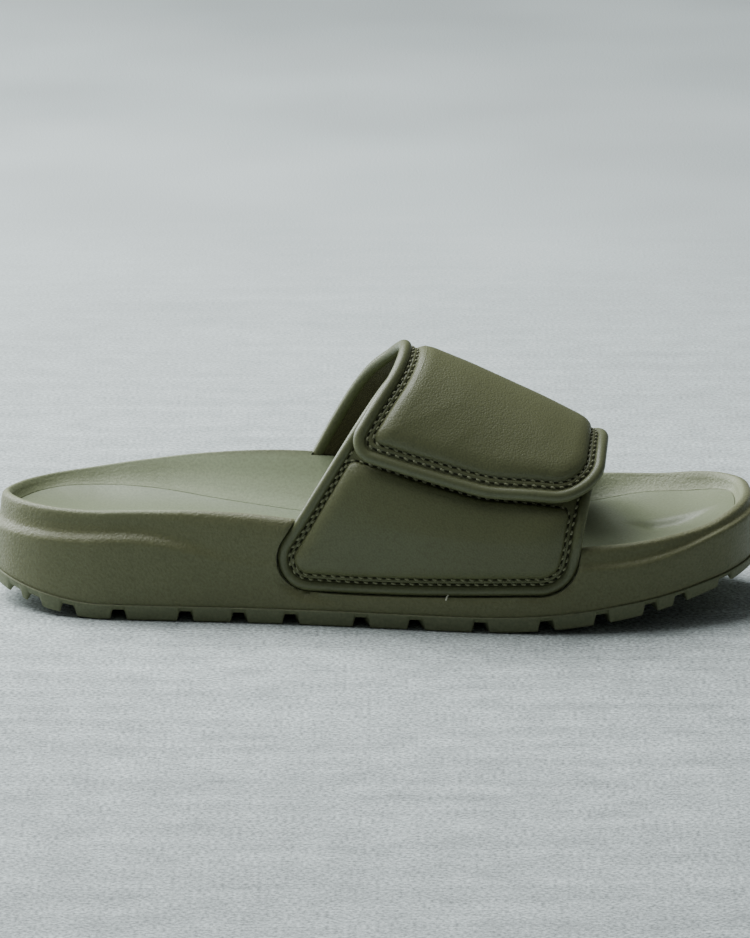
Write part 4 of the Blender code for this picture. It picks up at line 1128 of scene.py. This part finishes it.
def coated_leather(name, light, dark, grain, depth, roughness):
    """Leather with a sprayed and pressed finish: closed creases between fine rounded cells."""
    sockets = {"IOR": 1.5, "Specular_IOR_Level": 0.42, "Coat_Weight": 0.14, "Coat_Roughness": 0.34}
    material, tree, shader = new_material(name, **sockets)
    place = add(tree, "TexCoord").outputs["Object"]
    cloud = add(tree, "TexNoise", {"Scale": 1 / (30 * MM), "Detail": 2}, {"Vector": place})
    warp = add(tree, "TexNoise", {"Scale": 0.4 / grain, "Detail": 2}, {"Vector": place})
    reach = {"operation": "SCALE", "Scale": 0.6 * grain}
    offset = add(tree, "VectorMath", reach, {0: warp.outputs["Color"]})
    bent = add(tree, "VectorMath", {"operation": "ADD"}, {0: place, 1: offset})
    rounded = {"feature": "SMOOTH_F1", "Scale": 1 / grain, "Smoothness": 0.8}
    cells = add(tree, "TexVoronoi", rounded, {"Vector": bent})
    pores = add(tree, "TexNoise", {"Scale": 5 / grain, "Detail": 2}, {"Vector": place})
    broad = {"Scale": 1 / (7 * MM), "Detail": 2, "Roughness": 0.4}
    swells = add(tree, "TexNoise", broad, {"Vector": place})
    mixed = add(tree, "Mix", {"data_type": "RGBA", 6: linear(dark), 7: linear(light)}, {0: cloud})
    # Painted shade in the grain's pressed creases, and a touch of painted light on the cells
    creases = add(tree, "MapRange", {1: 0.25, 2: 0.75, 3: 1.04, 4: 0.86}, {0: cells})
    shade = add(tree, "Mix", MULTIPLY, {6: mixed.outputs[2], 7: creases})
    tree.links.new(shade.outputs[2], shader.inputs["Base Color"])
    gloss = add(tree, "MapRange", {1: 0.2, 2: 0.8, 3: roughness - 0.06, 4: roughness + 0.10}, {0: cells})
    tree.links.new(gloss.outputs[0], shader.inputs["Roughness"])
    skin = add(tree, "Bump", {"Distance": 0.14 * MM, "Strength": 1.0}, {"Height": swells})
    pressed = {"Distance": depth, "Strength": 1.0, "invert": True}
    skin = add(tree, "Bump", pressed, {"Height": cells, "Normal": skin})
    skin = add(tree, "Bump", {"Distance": depth * 0.3, "Strength": 1.0}, {"Height": pores, "Normal": skin})
    tree.links.new(skin.outputs[0], shader.inputs["Normal"])
    return material


def knit_lining(name, light, dark, stitch):
    """Warp-knitted polyester over thin foam: rows of tiny loops, drawn at their real pitch."""
    sockets = {"Specular_IOR_Level": 0.3, "Sheen_Weight": 0.35, "Sheen_Roughness": 0.45, "Roughness": 0.85}
    material, tree, shader = new_material(name, **sockets)
    place = add(tree, "TexCoord").outputs["Object"]
    cloud = add(tree, "TexNoise", {"Scale": 1 / (12 * MM), "Detail": 3}, {"Vector": place})
    turned = add(tree, "Mapping", {"Rotation": (0.5, 0.9, 0.3)}, {"Vector": place})
    even = {"feature": "F1", "Scale": 1 / stitch, "Randomness": 0.35}
    loops = add(tree, "TexVoronoi", even, {"Vector": turned})
    mixed = add(tree, "Mix", {"data_type": "RGBA", 6: linear(dark), 7: linear(light)}, {0: cloud})
    # Painted shade in the holes between the knit's loops
    holes = add(tree, "MapRange", {1: 0.2, 2: 0.7, 3: 1.05, 4: 0.6}, {0: loops})
    shade = add(tree, "Mix", MULTIPLY, {6: mixed.outputs[2], 7: holes})
    tree.links.new(shade.outputs[2], shader.inputs["Base Color"])
    skin = add(tree, "Bump", {"Distance": 0.2 * MM, "Strength": 1.0, "invert": True}, {"Height": loops})
    tree.links.new(skin.outputs[0], shader.inputs["Normal"])
    return material


def flap_edge_corners(above):
    """Front and rear corner on the outer half's two edges, a distance above the flap's free edge."""
    edges = ((1, 2, FRONT_CROSSING, FLAP_FRONT_HEIGHT), (0, 3, REAR_CROSSING, FLAP_REAR_HEIGHT))
    found = []
    for low, high, along, height in edges:
        start, end = np.array(OUTER_CORNERS[low][0]), np.array(OUTER_CORNERS[high][0])
        girth = flat_point(along, False, height)[1] + above
        share = (girth - start[1]) / (end[1] - start[1])
        found.append((start + (end - start) * share, HIDDEN_RADIUS, True))
    return found


def pad_top_corners(above):
    """The outer pad's top corners, with one between them so that the seam follows the flap's edge."""
    front, rear = flap_edge_corners(above)
    rear = (rear[0] + np.array((0, REAR_CROSSING_RISE)), *rear[1:])
    middle = INNER_CORNERS[4][0]
    return front, ((middle[0], middle[1] + above), FLAP_EDGE_RADIUS, False), rear


# Coated leather: soft satin gloss over a fine pressed grain, darker than the foam. The grain's cells,
# about 0.5 mm on such leather, are drawn a little coarser so that they show.
strap_leather = coated_leather(
    "coated_leather",
    "#676a48",
    "#5e6140",
    grain=0.68 * MM,
    depth=0.12 * MM,
    roughness=0.46,
)
# Knitted polyester: dull, warm and soft, with a faint sheen along the edges of what is seen inside
strap_lining = knit_lining("knit_lining", "#67624a", "#54503b", stitch=0.7 * MM)
outer_pad_corners = (*OUTER_CORNERS[:2], *pad_top_corners(OUTER_SEAMS[1] + PAD_START - SEAM_PEEK))
HALVES = (
    ("outer", OUTER_CORNERS, outer_pad_corners, OUTER_EDGE_POINTS, no_lift, OUTER_SEAMS, OUTER_FOLDS),
    ("inner", INNER_CORNERS, INNER_CORNERS, INNER_EDGE_POINTS, flap_lift, INNER_SEAMS, INNER_FOLDS),
)
for side, corners, pad_corners, edge_points, base_lift, seams, fold_lines in HALVES:
    node = "strap_" + side
    half = strap_panel(node + "_panel", corners, pad_corners, edge_points, base_lift, fold_lines, seams)
    half.data.materials.append(strap_leather)
    half.data.materials.append(strap_lining)
    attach(half, "root")
    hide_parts(node)

# Fastener. A strip of woven hook-and-loop tape sewn to the outer half; the flap closes on it and
# hides it, so that only a dark slit is seen under the flap's edge.

PATCH_SETBACK = 1.5 * MM
PATCH_SINK = 0.2 * MM
PATCH_EDGE_RADIUS = 0.4 * MM
PATCH_EDGE_POINTS = 40


def patch_solid(name, finish):
    """The tape's thin plate, laid over the last with rounded corners."""
    border = BINDING_DIAMETER + GAP + PATCH_SETBACK
    front, rear = flap_edge_corners(border)
    corners = (rear, front, *OUTER_CORNERS[2:])
    outline = strap_line(corners, PATCH_EDGE_POINTS, border)
    base = STRAP_MARGIN_THICKNESS - PATCH_SINK
    top = STRAP_MARGIN_THICKNESS + GAP + PATCH_THICKNESS
    soft = strap_line(corners, PATCH_EDGE_POINTS, border + PATCH_EDGE_RADIUS)
    grid = strap_grid(soft)
    low_grid = strap_grid(outline)
    loops = [on_last(outline, base), on_last(outline, top - PATCH_EDGE_RADIUS), on_last(soft, top)]
    faces = ring_faces(3, len(outline))
    points = [*loops, on_last(grid.reshape(-1, 2), top), on_last(low_grid.reshape(-1, 2), base)]
    size = grid.shape[0] * grid.shape[1]
    for layer in (0, 1):
        faces += grid_faces(*grid.shape[:2], 3 * len(outline) + layer * size)
    piece = piece_from_faces(name, np.concatenate(points), faces)
    piece.data.materials.append(finish)
    return piece


# Loop pile: dark and dull, so the slit under the flap stays dark
loop_tape = knit_lining("loop_tape", "#454731", "#393b28", stitch=0.5 * MM)
patch = patch_solid("fastener_tape", loop_tape)
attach(patch, "root")
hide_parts("fastener_patch")

# Binding. A strip of the same leather folded round a cord and sewn on, so each edge ends in a
# full round bead. It is a little glossier than the pads, stretched tight over the cord.

OUTER_BEAD_THINNING = 0.2 * MM
BEAD_SIDES = 24


def tube(name, path, across, radius, sides, finish, sharp=60):
    """A closed tube along a closed path; across is a unit vector across the path at each point."""
    run = np.roll(path, -1, axis=0) - np.roll(path, 1, axis=0)
    run /= np.linalg.norm(run, axis=1)[:, None]
    up = np.cross(run, across)
    up /= np.linalg.norm(up, axis=1)[:, None]
    level = np.cross(up, run)
    rows = []
    for turn in np.linspace(0, 2 * math.pi, sides, endpoint=False):
        rows.append(path + radius * (math.cos(turn) * level + math.sin(turn) * up))
    points = np.concatenate(rows)
    count = len(path)
    faces = []
    for row in range(sides):
        for k in range(count):
            a, b = row * count + k, row * count + (k + 1) % count
            c, d = (row + 1) % sides * count + (k + 1) % count, (row + 1) % sides * count + k
            faces.append((a, b, c, d))
    piece = piece_from_faces(name, points, faces, sharp)
    piece.data.materials.append(finish)
    return piece


def last_normals(flat):
    """Unit normals of the last at flat points."""
    return (on_last(flat, 1 * MM) - on_last(flat, 0)) / MM


# The same leather pulled tight over the cord: its grain is flatter, so the gloss runs in a soft line
binding_leather = coated_leather(
    "bound_leather",
    "#656949",
    "#5c6041",
    grain=0.8 * MM,
    depth=0.05 * MM,
    roughness=0.42,
)
for side, corners, _, edge_points, base_lift, _, _ in HALVES:
    node = "binding_" + side
    radius = BINDING_DIAMETER / 2 - (OUTER_BEAD_THINNING if side == "outer" else 0)
    flat = strap_line(corners, edge_points, radius)
    path = on_last(flat, base_lift(flat) + radius)
    bead = tube(node + "_bead", path, last_normals(flat), radius, BEAD_SIDES, binding_leather)
    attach(bead, "root")
    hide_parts(node)

# Stitches. Two rows of bonded polyester thread beside each binding. Each stitch is pulled tight:
# a short slanted bar of thread between two long dimples that the needle and the pull leave.

STITCH_PITCH = 3.5 * MM
STITCH_LENGTH = 1.9 * MM
STITCH_SLANT = math.radians(18)
STITCH_SINK = 0.25 * MM
STITCH_BOW = 0.12 * MM
THREAD_RADIUS = 0.40 * MM
DIMPLE_LENGTH = 1.8 * MM
DIMPLE_RADIUS = 0.36 * MM
DIMPLE_SINK = 0.18 * MM
BAR_TIP = 0.03
STITCH_RINGS = 8
STITCH_SIDES = 10


def stitch_places(flat, base_lift, height):
    """Centres, directions and normals of stitches at an even pitch along a closed flat line."""
    line = on_last(flat, base_lift(flat) + height)
    closed = np.concatenate([line, line[:1]])
    run = np.concatenate([[0], np.cumsum(np.linalg.norm(np.diff(closed, axis=0), axis=1))])
    count = int(round(run[-1] / STITCH_PITCH))
    at = (np.arange(count) + 0.5) * run[-1] / count
    normals = last_normals(flat)
    faced = np.concatenate([normals, normals[:1]])
    half = STITCH_PITCH / 2
    found = []
    for curve, move in ((closed, 0), (closed, half), (closed, -half), (faced, 0)):
        place = (at + move) % run[-1]
        found.append(np.column_stack([np.interp(place, run, curve[:, k]) for k in range(3)]))
    middle, ahead, back, normal = found
    along = ahead - back
    along /= np.linalg.norm(along, axis=1)[:, None]
    return middle, ahead, along, normal


def bars(name, centres, along, normals, size, bow, finish):
    """Short tapered bars as one mesh: size is length and radius, bow is the rise of their middle."""
    length, radius = size
    shares = np.linspace(-1, 1, STITCH_RINGS)
    turns = np.linspace(0, 2 * math.pi, STITCH_SIDES, endpoint=False)
    across = np.cross(along, normals)
    rings = []
    for share in shares:
        centre = centres + along * share * length / 2 + normals * bow * (1 - 2 * share**2)
        thick = radius * math.sqrt(max(1 - abs(share) ** 3, BAR_TIP))
        for turn in turns:
            rings.append(centre + thick * (math.cos(turn) * across + math.sin(turn) * normals))
    points = np.array(rings).transpose(1, 0, 2).reshape(-1, 3)
    each = STITCH_RINGS * STITCH_SIDES
    one = ring_faces(STITCH_RINGS, STITCH_SIDES)
    one += [tuple(range(STITCH_SIDES)), tuple(range(each - STITCH_SIDES, each))]
    faces = [tuple(first + k for k in face) for first in range(0, len(points), each) for face in one]
    piece = piece_from_faces(name, points, faces, sharp=80)
    piece.data.materials.append(finish)
    return piece


def sewing_thread(name, colour, twist):
    """Bonded polyester thread: two plies in a tight twist, with the bond's slight gloss."""
    sockets = {"Base_Color": linear(colour), "Roughness": 0.42, "Sheen_Weight": 0.3}
    material, tree, shader = new_material(name, **sockets)
    place = add(tree, "TexCoord").outputs["Object"]
    turned = add(tree, "Mapping", {"Rotation": (0.2, 0.6, 0.7)}, {"Vector": place})
    plies = add(tree, "TexWave", {"Scale": 1 / twist / 6.3, "Distortion": 1.0}, {"Vector": turned})
    skin = add(tree, "Bump", {"Distance": 0.08 * MM, "Strength": 1.0}, {"Height": plies})
    tree.links.new(skin.outputs[0], shader.inputs["Normal"])
    return material


# Bonded thread: a shade lighter than the leather, with a slight gloss over its fine twist
thread = sewing_thread("polyester_thread", "#7e805d", twist=0.6 * MM)
# Needle dimple: painted shadow, a dark matt colour for the shade deep in each dimple, without any gloss
dimple_shade = new_material(
    "painted_dimple_shade",
    Base_Color=linear("#303122"),
    Roughness=0.9,
    Specular_IOR_Level=0.1,
)[0]
for side, corners, pad_corners, edge_points, base_lift, seams, _ in HALVES:
    rows = []
    for outline, seam in zip((corners, pad_corners), seams):
        height = STRAP_MARGIN_THICKNESS - STITCH_SINK
        rows.append(stitch_places(strap_line(outline, edge_points, seam), base_lift, height))
    middle, ahead, along, normal = [np.concatenate(parts) for parts in zip(*rows)]
    slanted = along * math.cos(STITCH_SLANT) + np.cross(along, normal) * math.sin(STITCH_SLANT)
    size = (STITCH_LENGTH, THREAD_RADIUS)
    stitches = bars("stitches_" + side, middle, slanted, normal, size, STITCH_BOW, thread)
    # The dimples are dark matt bars sunk under the surface: their darkness is painted shadow
    size = (DIMPLE_LENGTH, DIMPLE_RADIUS)
    dimple_shades = bars("dimple_shades_" + side, ahead - normal * DIMPLE_SINK, along, normal, size, 0.0, dimple_shade)
    for piece in (stitches, dimple_shades):
        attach(piece, "root")

# Thread end. One end of the sewing thread, clipped short, stands out under the outer half's hem.
# It curls out, back and down, and is about 2.5 mm long.

THREAD_END_X = 27.0 * MM
THREAD_END_HEIGHT = 14.0 * MM
THREAD_END_ROOT = 1.2 * MM
THREAD_END_BACK = 0.9 * MM
THREAD_END_OUT = 1.9 * MM
THREAD_END_DROP = 1.5 * MM
THREAD_END_RADIUS = 0.28 * MM
THREAD_END_SIDES = 8

side_y = sole_half_width(THREAD_END_X, False)
curl = np.linspace(0, 1, 9)[:, None]
bend = [-THREAD_END_BACK * curl, -THREAD_END_OUT * curl**0.7, -THREAD_END_DROP * curl**1.6]
path = np.array([THREAD_END_X, side_y + THREAD_END_ROOT, THREAD_END_HEIGHT]) + np.hstack(bend)
run = np.gradient(path, axis=0)
run /= np.linalg.norm(run, axis=1)[:, None]
across = np.cross(run, (0, 0, 1))
across /= np.linalg.norm(across, axis=1)[:, None]
turns = np.linspace(0, 2 * math.pi, THREAD_END_SIDES, endpoint=False)
rings = []
for place, aside, ahead in zip(path, across, run):
    circle = np.cos(turns)[:, None] * aside + np.sin(turns)[:, None] * np.cross(aside, ahead)
    rings.append(place + THREAD_END_RADIUS * circle)
last = THREAD_END_SIDES * (len(path) - 1)
faces = ring_faces(len(path), THREAD_END_SIDES)
faces += [tuple(range(THREAD_END_SIDES)), tuple(range(last, last + THREAD_END_SIDES))]
clipped = piece_from_faces("thread_end", np.concatenate(rings), faces, sharp=80)
# The thread's cut end, frayed and dry: much paler than the pulled stitches
clipped.data.materials.append(sewing_thread("pale_thread", "#c9cab4", twist=0.6 * MM))
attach(clipped, "root")

# Floor, light and camera. A pale stone floor, a broad soft light high up behind the heel end, a
# lower one further off on the same side, and a weak even fill.

FLOOR_SIZE = 12.0
LIGHT_AIM = (0, 0, 0.04)
SKYLIGHT_PLACE = (-0.58, 0.42, 1.12)
SKYLIGHT_SIZE = 1.3
SKYLIGHT_POWER = 42
WINDOW_PLACE = (-1.5, 1.1, 0.75)
WINDOW_SIZE = 1.0
WINDOW_POWER = 34
FILL_STRENGTH = 0.14
CAMERA_DISTANCE = 2.65
CAMERA_ELEVATION = math.radians(14)
CAMERA_TARGET = np.array([-0.0002, 0.0, 0.0506])
PIXELS_PER_METRE = 2650
PICTURE_HEIGHT = 938


def floor_finish():
    """Pale honed stone: fine speckle, soft clouds and long faint streaks that run slantwise."""
    material, tree, shader = new_material("honed_stone", Roughness=0.7, Specular_IOR_Level=0.3)
    place = add(tree, "TexCoord").outputs["Object"]
    fine = {"Scale": 1 / (1.5 * MM), "Detail": 3, "Roughness": 0.6}
    grains = add(tree, "TexNoise", fine, {"Vector": place})
    broad = {"Scale": 1 / (16 * MM), "Detail": 5, "Roughness": 0.6}
    clouds = add(tree, "TexNoise", broad, {"Vector": place})
    slant = {"Rotation": (0, 0, -0.5), "Scale": (1 / (120 * MM), 1 / (12 * MM), 1)}
    turned = add(tree, "Mapping", slant, {"Vector": place})
    streaks = add(tree, "TexNoise", {"Scale": 1.0, "Detail": 4, "Roughness": 0.55}, {"Vector": turned})
    speck = add(tree, "MapRange", {1: 0.34, 2: 0.66, 3: 0.50, 4: 1.38}, {0: grains})
    cloud = add(tree, "MapRange", {1: 0.3, 2: 0.7, 3: 0.82, 4: 1.12}, {0: clouds})
    streak = add(tree, "MapRange", {1: 0.3, 2: 0.7, 3: 0.84, 4: 1.10}, {0: streaks})
    both = add(tree, "Math", {"operation": "MULTIPLY"}, {0: speck, 1: cloud})
    all_three = add(tree, "Math", {"operation": "MULTIPLY"}, {0: both, 1: streak})
    patches = add(tree, "TexNoise", {"Scale": 1 / (220 * MM), "Detail": 2}, {"Vector": place})
    patch_tone = add(tree, "MapRange", {1: 0.3, 2: 0.7, 3: 0.86, 4: 1.10}, {0: patches})
    depth = add(tree, "SeparateXYZ", {}, {0: place}).outputs["Y"]
    far = add(tree, "MapRange", {1: 0.05, 2: 0.75, 3: 0.0, 4: 1.0}, {0: depth})
    tone = add(tree, "Mix", {"data_type": "FLOAT"}, {0: far, 2: all_three, 3: patch_tone})
    shade = add(tree, "Mix", {**MULTIPLY, 6: linear("#bac2c0")}, {7: tone})
    tree.links.new(shade.outputs[2], shader.inputs["Base Color"])
    skin = add(tree, "Bump", {"Distance": 0.35 * MM, "Strength": 0.7}, {"Height": grains})
    tree.links.new(skin.outputs[0], shader.inputs["Normal"])
    return material


bpy.ops.mesh.primitive_plane_add(size=FLOOR_SIZE)
floor = bpy.context.object
floor.name = "floor"
floor.data.materials.append(floor_finish())


def soft_light(name, place, aim, size, power, colour):
    """A square area light at a place, aimed at a point."""
    lamp = bpy.data.lights.new(name, "AREA")
    lamp.size = size
    lamp.energy = power
    lamp.color = linear(colour)[:3]
    thing = bpy.data.objects.new(name, lamp)
    bpy.context.scene.collection.objects.link(thing)
    thing.location = place
    step = np.array(aim) - np.array(place)
    tilt = math.acos(-step[2] / np.linalg.norm(step))
    thing.rotation_euler = (tilt, 0, math.atan2(step[1], step[0]) - math.pi / 2)
    return thing


soft_light("skylight", SKYLIGHT_PLACE, LIGHT_AIM, SKYLIGHT_SIZE, SKYLIGHT_POWER, "#f8fcff")
soft_light("window", WINDOW_PLACE, LIGHT_AIM, WINDOW_SIZE, WINDOW_POWER, "#f4fbff")
world = bpy.data.worlds.new("studio")
bpy.context.scene.world = world
world.use_nodes = True
world.node_tree.nodes["Background"].inputs["Color"].default_value = linear("#dfe5e8")
world.node_tree.nodes["Background"].inputs["Strength"].default_value = FILL_STRENGTH

camera = bpy.data.objects.new("camera", bpy.data.cameras.new("camera"))
bpy.context.scene.collection.objects.link(camera)
back = np.array([0, -math.cos(CAMERA_ELEVATION), math.sin(CAMERA_ELEVATION)])
camera.location = CAMERA_TARGET + back * CAMERA_DISTANCE
camera.rotation_euler = (math.pi / 2 - CAMERA_ELEVATION, 0, 0)
camera.data.sensor_width = 36
camera.data.lens = camera.data.sensor_width * CAMERA_DISTANCE * PIXELS_PER_METRE / PICTURE_HEIGHT
bpy.context.scene.camera = camera
